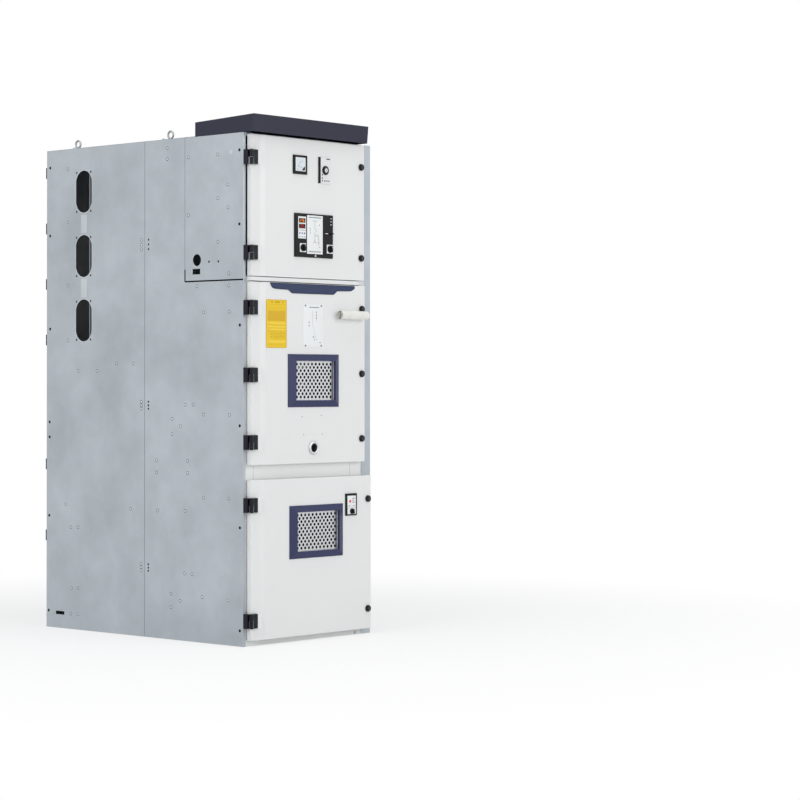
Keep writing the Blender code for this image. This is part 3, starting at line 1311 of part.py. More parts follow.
def breaker_pole(phase):
    """Cast pole with ribs, and two arms that end in tulip contacts."""
    x = PHASES[phase]
    height = POLE_TOP - POLE_FOOT
    pitch = height / (2 * POLE_RIBS + 1)
    profile = [(0, 0)]
    for k in range(2 * POLE_RIBS + 1):
        radius = POLE_RADIUS if k % 2 == 0 else POLE_NECK
        profile += [(radius, k * pitch), (radius, (k + 1) * pitch)]
    profile.append((0, height))
    obj = finish("breaker_pole_" + phase,
                 turned(profile, (x, POLE_LINE, POLE_FOOT), (0, 0, 1), ROUND), EPOXY, smooth=True)
    join(obj, block((x - POLE_LUG_HALF, HOUSING_BACK + GAP, POLE_LUG_FOOT),
                    (x + POLE_LUG_HALF, POLE_LINE - POLE_NECK / 3, POLE_LUG_TOP)))
    start = POLE_LINE + POLE_NECK / 3
    reach = ARM_TIP - start
    for level in CONTACT_LEVELS.values():
        join(obj, turned([(0, 0), (ARM_RADIUS, 0), (ARM_RADIUS, reach - TULIP_LENGTH),
                          (TULIP_RADIUS, reach - TULIP_LENGTH + TULIP_TAPER),
                          (TULIP_RADIUS, reach - BEZEL_CHAMFER),
                          (TULIP_RADIUS - BEZEL_CHAMFER, reach), (TULIP_BORE, reach),
                          (TULIP_BORE, reach - TULIP_DEPTH), (0, reach - TULIP_DEPTH)],
                         (x, start, level), (0, 1, 0), ROUND))
    return obj


# Rear doors

REAR_AXIS_INSET = 0.010
REAR_AXIS_REACH = 0.008
REAR_AXIS = (LEFT + REAR_AXIS_INSET, BACK + REAR_AXIS_REACH)
REAR_KNUCKLE_RADIUS = 0.0065
REAR_HINGE_HEIGHT = 0.050
REAR_LEG_SHARE = 0.30
REAR_LEAF_REACH = 0.028
REAR_DOOR_MARGIN = 0.004
REAR_DOOR_THICKNESS = 0.012
REAR_DOOR_SPACE = 0.004
REAR_DOOR_LIFT = 0.030
REAR_DOOR_DROP = 0.010
REAR_DOOR_RIGHT = RIGHT - REAR_DOOR_MARGIN
REAR_SEAT = BACK + DOOR_BACK_STANDOFF
REAR_DOOR_BACK = REAR_SEAT + REAR_DOOR_THICKNESS
REAR_UPPER = (REAR_SPLIT + REAR_DOOR_SPACE / 2, HEIGHT - REAR_DOOR_DROP)
REAR_LOWER = (REAR_DOOR_LIFT, REAR_SPLIT - REAR_DOOR_SPACE / 2)
REAR_UPPER_HINGE_LIFT = 0.105
REAR_UPPER_HINGE_DROP = 0.090
REAR_LOWER_HINGE_LIFT = 0.3935
REAR_LOWER_HINGE_DROP = 0.4655
REAR_UPPER_HINGES = spread(REAR_UPPER[0] + REAR_UPPER_HINGE_LIFT,
                           REAR_UPPER[1] - REAR_UPPER_HINGE_DROP, 4)
REAR_LOWER_HINGES = spread(REAR_LOWER[0] + REAR_LOWER_HINGE_LIFT,
                           REAR_LOWER[1] - REAR_LOWER_HINGE_DROP, 2)


def rear_door(name, levels, hinges):
    """Rear cover as a shallow pan on lift-off hinges."""
    foot, top = levels
    obj = finish(name, block((DOOR_LEFT, REAR_SEAT, foot),
                             (REAR_DOOR_RIGHT, REAR_DOOR_BACK, top)), GALVANISED)
    cut(obj, block((DOOR_LEFT + DOOR_SKIN, REAR_SEAT - OVERRUN, foot + DOOR_SKIN),
                   (REAR_DOOR_RIGHT - DOOR_SKIN, REAR_DOOR_BACK - DOOR_SKIN, top - DOOR_SKIN)))
    leaf_y = (REAR_DOOR_BACK - DOOR_SKIN / 2, REAR_AXIS[1] + REAR_KNUCKLE_RADIUS)
    for level in hinges:
        added, bore = moving_knuckle(level, REAR_AXIS, DOOR_LEFT + HINGE_EDGE,
                                     DOOR_LEFT + REAR_LEAF_REACH, leaf_y,
                                     REAR_HINGE_HEIGHT, REAR_KNUCKLE_RADIUS)
        join(obj, *added)
        cut(obj, bore)
    return hang_on(obj, (*REAR_AXIS, (foot + top) / 2))


# The whole cubicle

def build_enclosure():
    """All pieces that stay still."""
    front_side_sheets()
    rear_side_sheets()
    base_frame()
    relay_box()
    top_fascia()
    front_frame()
    rear_frame()
    roof_sheet()
    for i, x in enumerate(EYEBOLT_X):
        for j, y in enumerate(EYEBOLT_Y):
            eyebolt("eyebolt_" + ("left", "right")[i] + "_" + ("front", "rear")[j], x, y)
    contact_partition()
    busbar_partition()
    breaker_floor()
    for which in CONTACT_LEVELS:
        contact_box(which)
    for phase in PHASES:
        branch_bar(phase)
        current_transformer(phase)


def build_relay_door():
    """Relay door with its instruments, selectors and locks."""
    door = front_door("relay_door", RELAY_DOOR_RIGHT, RELAY_DOOR_FOOT, RELAY_DOOR_TOP,
                      RELAY_HINGES, RELAY_LOCKS)
    cut_local(door, cutout(METER), cutout(CLIMATE), cutout(STATUS))
    front = FACE - 2 * GAP - BEZEL_DEPTH
    carry(door, *relay_instruments())
    carry(door, *[rotary_knob("selector_" + side, x, z, SELECTOR_RADIUS, front)
                  for side, (x, z) in selector_places().items()])
    carry(door, *[lock_knob("relay_lock_" + where, x, z)
                  for where, (x, z) in RELAY_LOCKS.items()])


def build_breaker_door():
    """Breaker door with its vent, crank ring, roll and locks."""
    door = front_door("breaker_door", BREAKER_DOOR_RIGHT, BREAKER_DOOR_FOOT, BREAKER_DOOR_TOP,
                      BREAKER_HINGES, BREAKER_LOCKS)
    x, z = CRANK_PLACE
    cut_local(door, vent_opening(BREAKER_VENT),
              rod((x, FACE - OVERRUN, z), (x, FACE + OVERRUN, z), CRANK_SLEEVE + GAP, FINE))
    carry(door, vent_frame("breaker_vent_frame", BREAKER_VENT),
          grille("breaker_grille", BREAKER_VENT), crank_ring(), document_roll())
    carry(door, *[lock_knob("breaker_lock_" + where, x, z)
                  for where, (x, z) in BREAKER_LOCKS.items()])


def build_cable_door():
    """Cable door with its vent, heater switch and locks."""
    door = front_door("cable_door", CABLE_DOOR_RIGHT, CABLE_DOOR_FOOT, CABLE_DOOR_TOP,
                      CABLE_HINGES, CABLE_LOCKS)
    cut_local(door, vent_opening(CABLE_VENT), cutout(HEATER))
    carry(door, vent_frame("cable_vent_frame", CABLE_VENT), grille("cable_grille", CABLE_VENT),
          heater_switch(),
          rotary_knob("heater_knob", *HEATER_KNOB, HEATER_KNOB_RADIUS,
                      FACE - 2 * GAP - BEZEL_DEPTH))
    carry(door, *[lock_knob("cable_lock_" + where, x, z)
                  for where, (x, z) in CABLE_LOCKS.items()])


def cut_local(obj, *shapes):
    """Cut shapes given in world places out of an object that has moved to its axis."""
    back = Matrix.Translation(-obj.location)
    for bm in shapes:
        bmesh.ops.transform(bm, matrix=back, verts=bm.verts)
    place = obj.location.copy()
    obj.location = (0, 0, 0)
    cut(obj, *shapes)
    obj.location = place


def build_breaker():
    """Withdrawable breaker on its truck, and the shutters it drives."""
    truck = bpy.data.objects.new("truck_centre", None)
    bpy.context.scene.collection.objects.link(truck)
    truck.location = (0, TRUCK_BACK, TRUCK_FOOT)
    carry(truck, truck_chassis(), breaker_housing(), *[breaker_pole(p) for p in PHASES])
    for which in CONTACT_LEVELS:
        shutter(which)


build_enclosure()
build_relay_door()
build_breaker_door()
build_cable_door()
build_breaker()
rear_door("rear_upper_door", REAR_UPPER, REAR_UPPER_HINGES)
rear_door("rear_lower_door", REAR_LOWER, REAR_LOWER_HINGES)
for flap in RELIEF_OPENINGS:
    relief_flap(flap)
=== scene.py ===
import json
import math

import bpy
import numpy as np
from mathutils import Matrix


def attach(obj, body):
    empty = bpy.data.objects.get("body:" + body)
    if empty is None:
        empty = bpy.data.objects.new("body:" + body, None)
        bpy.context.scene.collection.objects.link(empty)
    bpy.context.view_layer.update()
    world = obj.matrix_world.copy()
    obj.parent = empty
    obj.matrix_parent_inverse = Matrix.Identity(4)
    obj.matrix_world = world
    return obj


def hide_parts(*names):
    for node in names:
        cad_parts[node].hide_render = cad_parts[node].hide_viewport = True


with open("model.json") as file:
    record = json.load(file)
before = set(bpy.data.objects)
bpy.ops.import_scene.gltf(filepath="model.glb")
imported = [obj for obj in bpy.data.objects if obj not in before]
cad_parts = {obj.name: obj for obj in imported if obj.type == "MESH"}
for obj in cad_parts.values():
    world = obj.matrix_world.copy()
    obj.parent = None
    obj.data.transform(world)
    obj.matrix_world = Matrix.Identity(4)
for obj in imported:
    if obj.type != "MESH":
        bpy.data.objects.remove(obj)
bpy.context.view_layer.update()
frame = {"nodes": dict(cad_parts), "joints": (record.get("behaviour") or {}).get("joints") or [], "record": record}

nodes = frame["nodes"]

# Camera. It stands off the front left corner, at chest height, where the photograph was taken.
# Its place comes from the cubicle's corners; the long lens keeps the uprights almost parallel.
CAMERA_PLACE = (-7.5129, -7.9291, 1.1248)
CAMERA_TURN = math.radians(48.110)
CAMERA_TILT = math.radians(0.448)
LENS_MM = 107.01
SENSOR_MM = 36.0
SHIFT_UP = 0.0438

camera_data = bpy.data.cameras.new("camera")
camera_data.lens = LENS_MM
camera_data.sensor_width = SENSOR_MM
camera_data.shift_y = -SHIFT_UP
camera_data.clip_end = 60.0
camera = bpy.data.objects.new("camera", camera_data)
camera.location = CAMERA_PLACE
camera.rotation_euler = (math.pi / 2 + CAMERA_TILT, 0.0, -CAMERA_TURN)
bpy.context.scene.collection.objects.link(camera)
bpy.context.scene.camera = camera
bpy.context.scene.view_settings.view_transform = "Standard"


# Studio. A pale floor that keeps the shadow and turns plain white further off, an even white
# world, and large soft lamps: in front of the doors, along the left side and overhead.
def linear(hex_colour):
    """sRGB hex to linear RGBA: each channel is divided by 255 and put through the sRGB curve."""
    channels = np.array([int(hex_colour[i:i + 2], 16) for i in (0, 2, 4)]) / 255.0
    low = channels / 12.92
    high = ((channels + 0.055) / 1.055) ** 2.4
    return (*np.where(channels <= 0.04045, low, high), 1.0)


def add_node(tree, kind, links=None, **settings):
    """Adds a node, sets its properties and its sockets, and links sockets given as outputs."""
    node = tree.nodes.new(kind)
    sockets = settings.pop("sockets", {})
    for name, value in settings.items():
        setattr(node, name, value)
    for name, value in sockets.items():
        node.inputs[name].default_value = value
    for name, source in (links or {}).items():
        tree.links.new(source, node.inputs[name])
    return node


def backdrop_rays(tree):
    """1 for rays that see the background: from the camera, a mirror or clear glass."""
    rays = add_node(tree, "ShaderNodeLightPath")
    mirrored = add_node(tree, "ShaderNodeMath", {0: rays.outputs["Is Camera Ray"],
                        1: rays.outputs["Is Glossy Ray"]}, operation="MAXIMUM")
    return add_node(tree, "ShaderNodeMath", {0: mirrored.outputs[0],
                    1: rays.outputs["Is Transmission Ray"]}, operation="MAXIMUM").outputs[0]


FLOOR_SIZE = 60.0
FLOOR_COLOUR = "F2F2F2"
FLOOR_ROUGHNESS = 0.9
FLOOR_SHINE = 0.1
FLOOR_FADE = (1.2, 3.6)
FLOOR_WHITE_NEAR = 0.62
PURE_WHITE = (1.0, 1.0, 1.0, 1.0)
floor_mesh = bpy.data.meshes.new("studio_floor")
half = FLOOR_SIZE / 2
floor_mesh.from_pydata([(-half, -half, 0), (half, -half, 0), (half, half, 0), (-half, half, 0)],
                       [], [(0, 1, 2, 3)])
floor = bpy.data.objects.new("studio_floor", floor_mesh)
bpy.context.scene.collection.objects.link(floor)
floor_finish = bpy.data.materials.new("studio_floor_white")
floor_finish.use_nodes = True
tree = floor_finish.node_tree
shader = tree.nodes["Principled BSDF"]
shader.inputs["Base Color"].default_value = linear(FLOOR_COLOUR)
shader.inputs["Roughness"].default_value = FLOOR_ROUGHNESS
shader.inputs["Specular IOR Level"].default_value = FLOOR_SHINE
place = add_node(tree, "ShaderNodeTexCoord")
distance = add_node(tree, "ShaderNodeVectorMath", {0: place.outputs["Object"]},
                    operation="LENGTH")
fade = add_node(tree, "ShaderNodeMapRange", {"Value": distance.outputs["Value"]},
                interpolation_type="SMOOTHSTEP",
                sockets={"From Min": FLOOR_FADE[0], "From Max": FLOOR_FADE[1],
                         "To Min": FLOOR_WHITE_NEAR, "To Max": 1.0})
share = add_node(tree, "ShaderNodeMath", {0: fade.outputs[0], 1: backdrop_rays(tree)},
                 operation="MULTIPLY")
white = add_node(tree, "ShaderNodeEmission", sockets={"Color": PURE_WHITE})
mix = add_node(tree, "ShaderNodeMixShader", {0: share.outputs[0], 1: shader.outputs[0],
               2: white.outputs[0]})
tree.links.new(mix.outputs[0], tree.nodes["Material Output"].inputs["Surface"])
floor_mesh.materials.append(floor_finish)

world = bpy.data.worlds.new("studio")
world.use_nodes = True
tree = world.node_tree
for old in list(tree.nodes):
    tree.nodes.remove(old)
WORLD_COLOUR = "EEF0F3"
WORLD_STRENGTH = 0.55
ambient = add_node(tree, "ShaderNodeBackground",
                   sockets={"Color": linear(WORLD_COLOUR), "Strength": WORLD_STRENGTH})
backdrop = add_node(tree, "ShaderNodeBackground",
                    sockets={"Color": PURE_WHITE, "Strength": 1.0})
mix = add_node(tree, "ShaderNodeMixShader", {0: backdrop_rays(tree), 1: ambient.outputs[0],
               2: backdrop.outputs[0]})
add_node(tree, "ShaderNodeOutputWorld", {0: mix.outputs[0]})
bpy.context.scene.world = world

LAMPS = {
    "door_softbox": {"place": (1.5, -6.0, 3.0), "aim": (0.0, -0.65, 1.3), "size": 3.5,
                     "watts": 110.0},
    "side_softbox": {"place": (-6.0, -1.0, 3.4), "aim": (-0.4, 0.1, 1.4), "size": 3.5,
                     "watts": 120.0},
    "top_softbox": {"place": (-0.5, -0.5, 6.0), "aim": (0.0, 0.0, 1.0), "size": 4.0,
                    "watts": 110.0},
}
for name, lamp in LAMPS.items():
    data = bpy.data.lights.new(name, "AREA")
    data.size = lamp["size"]
    data.energy = lamp["watts"]
    obj = bpy.data.objects.new(name, data)
    obj.location = lamp["place"]
    away = np.array(lamp["place"]) - np.array(lamp["aim"])
    turn = math.atan2(away[0], -away[1])
    tilt = math.atan2(math.hypot(away[0], away[1]), away[2])
    obj.rotation_euler = (tilt, 0.0, turn)
    bpy.context.scene.collection.objects.link(obj)


# Side sheets, roof, frames and partitions. Hot-dip aluminium-zinc coated sheet, 2 mm,
# which gives a cool satin grey with a soft cloud-like mottle and a very fine spangle.
def new_material(name):
    """Empty node material with a Principled shader; returns (material, tree, shader)."""
    made = bpy.data.materials.new(name)
    made.use_nodes = True
    return made, made.node_tree, made.node_tree.nodes["Principled BSDF"]


SHEET_GREY = "B8BFC5"
SHEET_CLOUD = "A5ADB3"
SHEET_SPANGLE_MM = 3.0
SHEET_CLOUD_MM = 260.0
MM_PER_M = 1000.0


def coated_sheet(name, light, dark, metallic=0.55, roughness=0.42):
    """Coated sheet: wide clouds mix two greys, fine cells vary gloss and lift the surface."""
    made, tree, shader = new_material(name)
    place = add_node(tree, "ShaderNodeTexCoord")
    clouds = add_node(tree, "ShaderNodeTexNoise", {"Vector": place.outputs["Object"]},
                      sockets={"Scale": MM_PER_M / SHEET_CLOUD_MM, "Detail": 5.0,
                               "Roughness": 0.6})
    cells = add_node(tree, "ShaderNodeTexVoronoi", {"Vector": place.outputs["Object"]},
                     sockets={"Scale": MM_PER_M / SHEET_SPANGLE_MM})
    tone = add_node(tree, "ShaderNodeMapRange", {"Value": clouds.outputs["Fac"]},
                    sockets={"From Min": 0.3, "From Max": 0.7})
    colour = add_node(tree, "ShaderNodeMix", {"Factor": tone.outputs[0]}, data_type="RGBA")
    colour.inputs[6].default_value = linear(dark)
    colour.inputs[7].default_value = linear(light)
    gloss = add_node(tree, "ShaderNodeMapRange", {"Value": cells.outputs["Color"]},
                     sockets={"To Min": roughness - 0.05, "To Max": roughness + 0.07})
    bump = add_node(tree, "ShaderNodeBump", {"Height": cells.outputs["Distance"]},
                    sockets={"Strength": 0.04, "Distance": 0.0002})
    tree.links.new(colour.outputs[2], shader.inputs["Base Color"])
    tree.links.new(gloss.outputs[0], shader.inputs["Roughness"])
    tree.links.new(bump.outputs[0], shader.inputs["Normal"])
    shader.inputs["Metallic"].default_value = metallic
    return made


galvanised = coated_sheet("aluzinc_sheet", SHEET_GREY, SHEET_CLOUD)


# Doors and front frame. Steel pans with an off-white fine texture powder coat,
# satin, with a faint orange peel.
PAINT_WHITE = "E9EAE9"
PAINT_PEEL_MM = 1.6
PAINT_DRIFT_PER_M = 3.0


def powder_coat(name, hex_colour, roughness=0.38, peel=0.05, shine=0.4):
    """Powder coat: one colour with a faint wide drift, and a fine orange peel in the surface."""
    made, tree, shader = new_material(name)
    place = add_node(tree, "ShaderNodeTexCoord")
    peel_noise = add_node(tree, "ShaderNodeTexNoise", {"Vector": place.outputs["Object"]},
                          sockets={"Scale": MM_PER_M / PAINT_PEEL_MM, "Detail": 2.0})
    drift = add_node(tree, "ShaderNodeTexNoise", {"Vector": place.outputs["Object"]},
                     sockets={"Scale": PAINT_DRIFT_PER_M, "Detail": 3.0})
    shade = add_node(tree, "ShaderNodeMapRange", {"Value": drift.outputs["Fac"]},
                     sockets={"To Min": 0.965, "To Max": 1.0})
    base = linear(hex_colour)
    tint = add_node(tree, "ShaderNodeVectorMath", {1: shade.outputs[0]}, operation="MULTIPLY")
    tint.inputs[0].default_value = base[:3]
    tree.links.new(tint.outputs[0], shader.inputs["Base Color"])
    bump = add_node(tree, "ShaderNodeBump", {"Height": peel_noise.outputs["Fac"]},
                    sockets={"Strength": peel, "Distance": 0.0003})
    tree.links.new(bump.outputs[0], shader.inputs["Normal"])
    shader.inputs["Roughness"].default_value = roughness
    shader.inputs["Specular IOR Level"].default_value = shine
    return made


white_paint = powder_coat("off_white_powder_coat", PAINT_WHITE)


# Fascia, vent frames and the breaker's mechanism case. The same powder coat in dark navy,
# a little glossier than the doors.
NAVY_PAINT = "33375A"
NAVY_ROUGHNESS = 0.34
FASCIA_PAINT = "27293A"
navy_paint = powder_coat("navy_powder_coat", NAVY_PAINT, NAVY_ROUGHNESS, shine=0.25)
fascia_paint = powder_coat("dark_navy_powder_coat", FASCIA_PAINT, NAVY_ROUGHNESS, shine=0.25)


# Knobs, bezels and instrument cases. Injection moulded plastic with a fine spark-eroded grain,
# which dulls its gloss; the same recipe serves hinge coating, print, rubber and lamps.
GRAIN_MM = 0.5


def moulded_plastic(name, hex_colour, roughness=0.45, grain=0.12, shine=0.2):
    """Moulded plastic: fine noise lifts the surface and makes its gloss uneven."""
    made, tree, shader = new_material(name)
    place = add_node(tree, "ShaderNodeTexCoord")
    noise = add_node(tree, "ShaderNodeTexNoise", {"Vector": place.outputs["Object"]},
                     sockets={"Scale": MM_PER_M / GRAIN_MM, "Detail": 3.0})
    gloss = add_node(tree, "ShaderNodeMapRange", {"Value": noise.outputs["Fac"]},
                     sockets={"To Min": roughness - 0.06, "To Max": roughness + 0.10})
    bump = add_node(tree, "ShaderNodeBump", {"Height": noise.outputs["Fac"]},
                    sockets={"Strength": grain, "Distance": 0.0001})
    tree.links.new(gloss.outputs[0], shader.inputs["Roughness"])
    tree.links.new(bump.outputs[0], shader.inputs["Normal"])
    shader.inputs["Base Color"].default_value = linear(hex_colour)
    shader.inputs["Specular IOR Level"].default_value = shine
    return made


black_plastic = moulded_plastic("black_moulded_plastic", "0E0E10")
pale_plastic = moulded_plastic("pale_moulded_plastic", "E4E6E6")
grey_plastic = moulded_plastic("grey_moulded_plastic", "4C4F54")
hinge_paint = moulded_plastic("black_navy_hinge_coating", "15161F", roughness=0.38, grain=0.2)


# Screws, eyebolts, grilles and the crank ring. Zinc plated steel with faint turning marks;
# the breaker's contacts are silver plated copper, with wider ones.
def plated_metal(name, hex_colour, roughness, scratch_mm=0.8):
    """Plated metal: stretched noise makes fine marks in gloss and surface along one axis."""
    made, tree, shader = new_material(name)
    place = add_node(tree, "ShaderNodeTexCoord")
    stretch = add_node(tree, "ShaderNodeMapping", {"Vector": place.outputs["Object"]},
                       sockets={"Scale": (1.0, 1.0, 8.0)})
    noise = add_node(tree, "ShaderNodeTexNoise", {"Vector": stretch.outputs["Vector"]},
                     sockets={"Scale": MM_PER_M / scratch_mm, "Detail": 4.0})
    gloss = add_node(tree, "ShaderNodeMapRange", {"Value": noise.outputs["Fac"]},
                     sockets={"To Min": roughness - 0.08, "To Max": roughness + 0.12})
    bump = add_node(tree, "ShaderNodeBump", {"Height": noise.outputs["Fac"]},
                    sockets={"Strength": 0.08, "Distance": 0.0001})
    tree.links.new(gloss.outputs[0], shader.inputs["Roughness"])
    tree.links.new(bump.outputs[0], shader.inputs["Normal"])
    shader.inputs["Base Color"].default_value = linear(hex_colour)
    shader.inputs["Metallic"].default_value = 1.0
    return made


zinc_steel = plated_metal("zinc_plated_steel", "C9CBCD", 0.32)
dark_steel = plated_metal("blackened_steel_screw", "2A2B2E", 0.40)
silver_copper = plated_metal("silver_plated_copper", "C8A48C", 0.30, scratch_mm=2.0)


# Contact boxes, poles and current transformers. Filled epoxy casting, red-brown and glossy,
# with the slow cloudiness of the filler.
EPOXY_LIGHT = "7A3A2A"
EPOXY_DARK = "62291D"
EPOXY_CLOUD_MM = 60.0

cast_epoxy, tree, shader = new_material("cast_filled_epoxy")
place = add_node(tree, "ShaderNodeTexCoord")
clouds = add_node(tree, "ShaderNodeTexNoise", {"Vector": place.outputs["Object"]},
                  sockets={"Scale": MM_PER_M / EPOXY_CLOUD_MM, "Detail": 4.0})
colour = add_node(tree, "ShaderNodeMix", {"Factor": clouds.outputs["Fac"]}, data_type="RGBA")
colour.inputs[6].default_value = linear(EPOXY_DARK)
colour.inputs[7].default_value = linear(EPOXY_LIGHT)
tree.links.new(colour.outputs[2], shader.inputs["Base Color"])
shader.inputs["Roughness"].default_value = 0.28
shader.inputs["Coat Weight"].default_value = 0.3


# Paper of the rolled wiring diagram. White drawing paper: fibres show as a fine fleck
# in colour and surface.
PAPER_FIBRE_MM = 1.2

paper, tree, shader = new_material("drawing_paper")
place = add_node(tree, "ShaderNodeTexCoord")
fibre = add_node(tree, "ShaderNodeTexNoise", {"Vector": place.outputs["Object"]},
                 sockets={"Scale": MM_PER_M / PAPER_FIBRE_MM, "Detail": 6.0, "Distortion": 1.5})
colour = add_node(tree, "ShaderNodeMix", {"Factor": fibre.outputs["Fac"]}, data_type="RGBA")
colour.inputs[6].default_value = linear("DAD9D3")
colour.inputs[7].default_value = linear("F4F3EE")
bump = add_node(tree, "ShaderNodeBump", {"Height": fibre.outputs["Fac"]},
                sockets={"Strength": 0.15, "Distance": 0.0001})
tree.links.new(colour.outputs[2], shader.inputs["Base Color"])
tree.links.new(bump.outputs[0], shader.inputs["Normal"])
shader.inputs["Roughness"].default_value = 0.85


# Every CAD node takes the finish of its slot. Folded and cast pieces get a small bevel, so that
# their edges catch the light; the thin mouldings get the finest one.
SLOT_FINISH = {"galvanised_sheet": galvanised, "white_paint": white_paint,
               "navy_paint": navy_paint, "bright_steel": zinc_steel,
               "black_plastic": black_plastic, "pale_plastic": pale_plastic,
               "paper": paper, "epoxy": cast_epoxy, "copper": silver_copper}
EDGE_BEVELS = {
    0.0020: ("breaker_housing",),
    0.0015: ("relay_door", "breaker_door", "cable_door", "top_fascia", "rear_upper_door",
             "rear_lower_door"),
    0.0010: ("front_frame", "relay_box"),
    0.0008: ("breaker_vent_frame", "cable_vent_frame", "panel_meter", "status_unit",
             "climate_controller", "heater_switch"),
}
BEVEL_SEGMENTS = 2
WELD_REACH = 0.00001
EDGE_ANGLE = math.radians(40)

for entry in frame["record"]["subparts"]:
    mesh = nodes[entry["node"]].data
    mesh.materials.clear()
    mesh.materials.append(SLOT_FINISH[entry["material_slot"]])
nodes["top_fascia"].data.materials[0] = fascia_paint
for width, names in EDGE_BEVELS.items():
    for name in names:
        weld = nodes[name].modifiers.new("shared_corners", "WELD")
        weld.merge_threshold = WELD_REACH
        bevel = nodes[name].modifiers.new("folded_edge", "BEVEL")
        bevel.width = width
        bevel.segments = BEVEL_SEGMENTS
        bevel.limit_method = "ANGLE"
        bevel.angle_limit = EDGE_ANGLE


# Screws. Pan heads with a round driver recess, in several sizes, all over the cubicle.
# The profile is given in shares of the head's radius and height.
SCREW_PROFILE_SHARES = ((1.0, 0.0), (1.0, 0.45), (0.93, 0.75), (0.74, 1.0), (0.42, 1.0),
                        (0.40, 0.45))


def ring_faces(rows, columns, looped=False):
    """Quads between consecutive rings of points, and one face across each open end."""
    index = np.arange(rows * columns).reshape(rows, columns)
    lower = index if looped else index[:-1]
    upper = np.roll(index, -1, 0) if looped else index[1:]
    quads = np.stack([lower, np.roll(lower, -1, 1), np.roll(upper, -1, 1), upper], 2)
    faces = quads.reshape(-1, 4).tolist()
    if not looped:
        faces += [index[0][::-1].tolist(), index[-1].tolist()]
    return faces


def turned(profile, sides=48, looped=False):
    """Revolve about w: a (radius, height) point becomes the ring r cos t, r sin t, height."""
    profile = np.asarray(profile, float)
    turn = np.linspace(0.0, 2 * np.pi, sides, endpoint=False)
    around = np.stack([np.cos(turn), np.sin(turn)], 1)
    rings = profile[:, None, :1] * around[None]
    heights = np.broadcast_to(profile[:, None, 1:], (len(profile), sides, 1))
    points = np.concatenate([rings, heights], 2).reshape(-1, 3)
    return points, ring_faces(len(profile), sides, looped)


def screw_head(radius, height, sides=20):
    """Pan head from the profile's shares of its radius and height."""
    return turned(np.array(SCREW_PROFILE_SHARES) * (radius, height), sides)


# Hinges of the three front doors. Die cast, black-navy coated: the narrow leaf and the upper
# knuckle are screwed to the door's edge strip, the fixed leaf and lower knuckle to the post.
# What shows of the frame's own hinge halves beside these covers takes the same coating.
HINGE_LEVELS = {"relay": (1.6855, 2.0945), "breaker": (0.873, 1.16175, 1.4505),
                "cable": (0.1095, 0.604)}
HINGE_LEAF = (0.0275, 0.0640, 0.0040)
HINGE_LEAF_X = -0.3612
HINGE_FOOT_W = 0.6735
HINGE_THICKNESS = 0.0155
HINGE_BEVEL = 0.0035
HINGE_ARM = (0.0150, 0.0306, HINGE_BEVEL)
HINGE_ARM_X = -0.3775
FIXED_LEAF = (0.0180, 0.0630, 0.0020)
FIXED_LEAF_X = -0.3904
FIXED_LEAF_FOOT_W = 0.6503
FIXED_LEAF_THICKNESS = 0.0225
# A thin black plate behind the leaf makes the gap beside the knuckle show black: painted shade.
GAP_SHADE_PLATE = (0.0302, 0.0640, 0.0010)
GAP_SHADE_X = -0.3627
GAP_SHADE_W = 0.6740
GAP_SHADE_THICKNESS = 0.0012
GAP_SHADE_BEVEL = 0.0004
BARREL = (0.0316, 0.0086, 0.0015)
BARREL_GAP = 0.0005
BARREL_SIDES = 32
HINGE_SCREW = (0.0036, 0.0010)
HINGE_SCREW_RISE = 0.019
HINGE_EDGE_X = -0.3450
HINGE_REACH = 0.0340
HINGE_CARRIERS = {"{}_door": 0.6748, "side_sheet_left_front": 0.6510, "front_frame": 0.6510}

# Small fittings are shaped in local coordinates: u to the right, v up and w out of the face
# that carries them, as seen by someone who stands in front of that face.
FACING = {"front": ((1, 0, 0), (0, 0, 1), (0, -1, 0)),
          "left": ((0, -1, 0), (0, 0, 1), (-1, 0, 0)),
          "right": ((0, 1, 0), (0, 0, 1), (1, 0, 0)),
          "rear": ((-1, 0, 0), (0, 0, 1), (0, 1, 0)),
          "up": ((1, 0, 0), (0, 1, 0), (0, 0, 1))}

front_axis = next(j["pos_m"] for j in frame["joints"] if j["name"] == "relay_door_hinge")


def rounded_loop(width, height, corner, steps=6):
    """Rounded rectangle about the origin: four quarter circles, counter-clockwise."""
    turn = np.linspace(0.0, np.pi / 2, steps + 1)[None] + np.arange(4)[:, None] * np.pi / 2
    centres = np.array([(1, 1), (-1, 1), (-1, -1), (1, -1)]) * (width / 2 - corner,
                                                               height / 2 - corner)
    arcs = corner * np.stack([np.cos(turn), np.sin(turn)], 2)
    return (centres[:, None] + arcs).reshape(-1, 2)


def plate(width, height, corner, thickness, bevel, steps=3):
    """Rounded plate whose front edge is a quarter circle: it steps in by b (1 - cos t) while it
    rises by b sin t."""
    turn = np.linspace(0.0, np.pi / 2, steps + 1)
    insets = np.concatenate([[0.0], bevel * (1 - np.cos(turn))])
    rises = np.concatenate([[0.0], thickness - bevel + bevel * np.sin(turn)])
    rings = []
    for inset, rise in zip(insets, rises):
        loop = rounded_loop(width - 2 * inset, height - 2 * inset, max(corner - inset, 1e-5))
        rings.append(np.column_stack([loop, np.full(len(loop), rise)]))
    return np.concatenate(rings), ring_faces(len(rings), len(rings[0]))


def shifted(shape, u, v, w=0.0):
    """A local shape moved by (u, v, w)."""
    return shape[0] + (u, v, w), shape[1]


def joined(shapes):
    """Several shapes as one (points, faces) pair."""
    points, faces, start = [], [], 0
    for some_points, some_faces in shapes:
        points.append(some_points)
        faces += [[i + start for i in face] for face in some_faces]
        start += len(some_points)
    return np.concatenate(points), faces


def copies(shape, places):
    """One local shape repeated at (u, v, w) places."""
    return joined([shifted(shape, *spot) for spot in places])


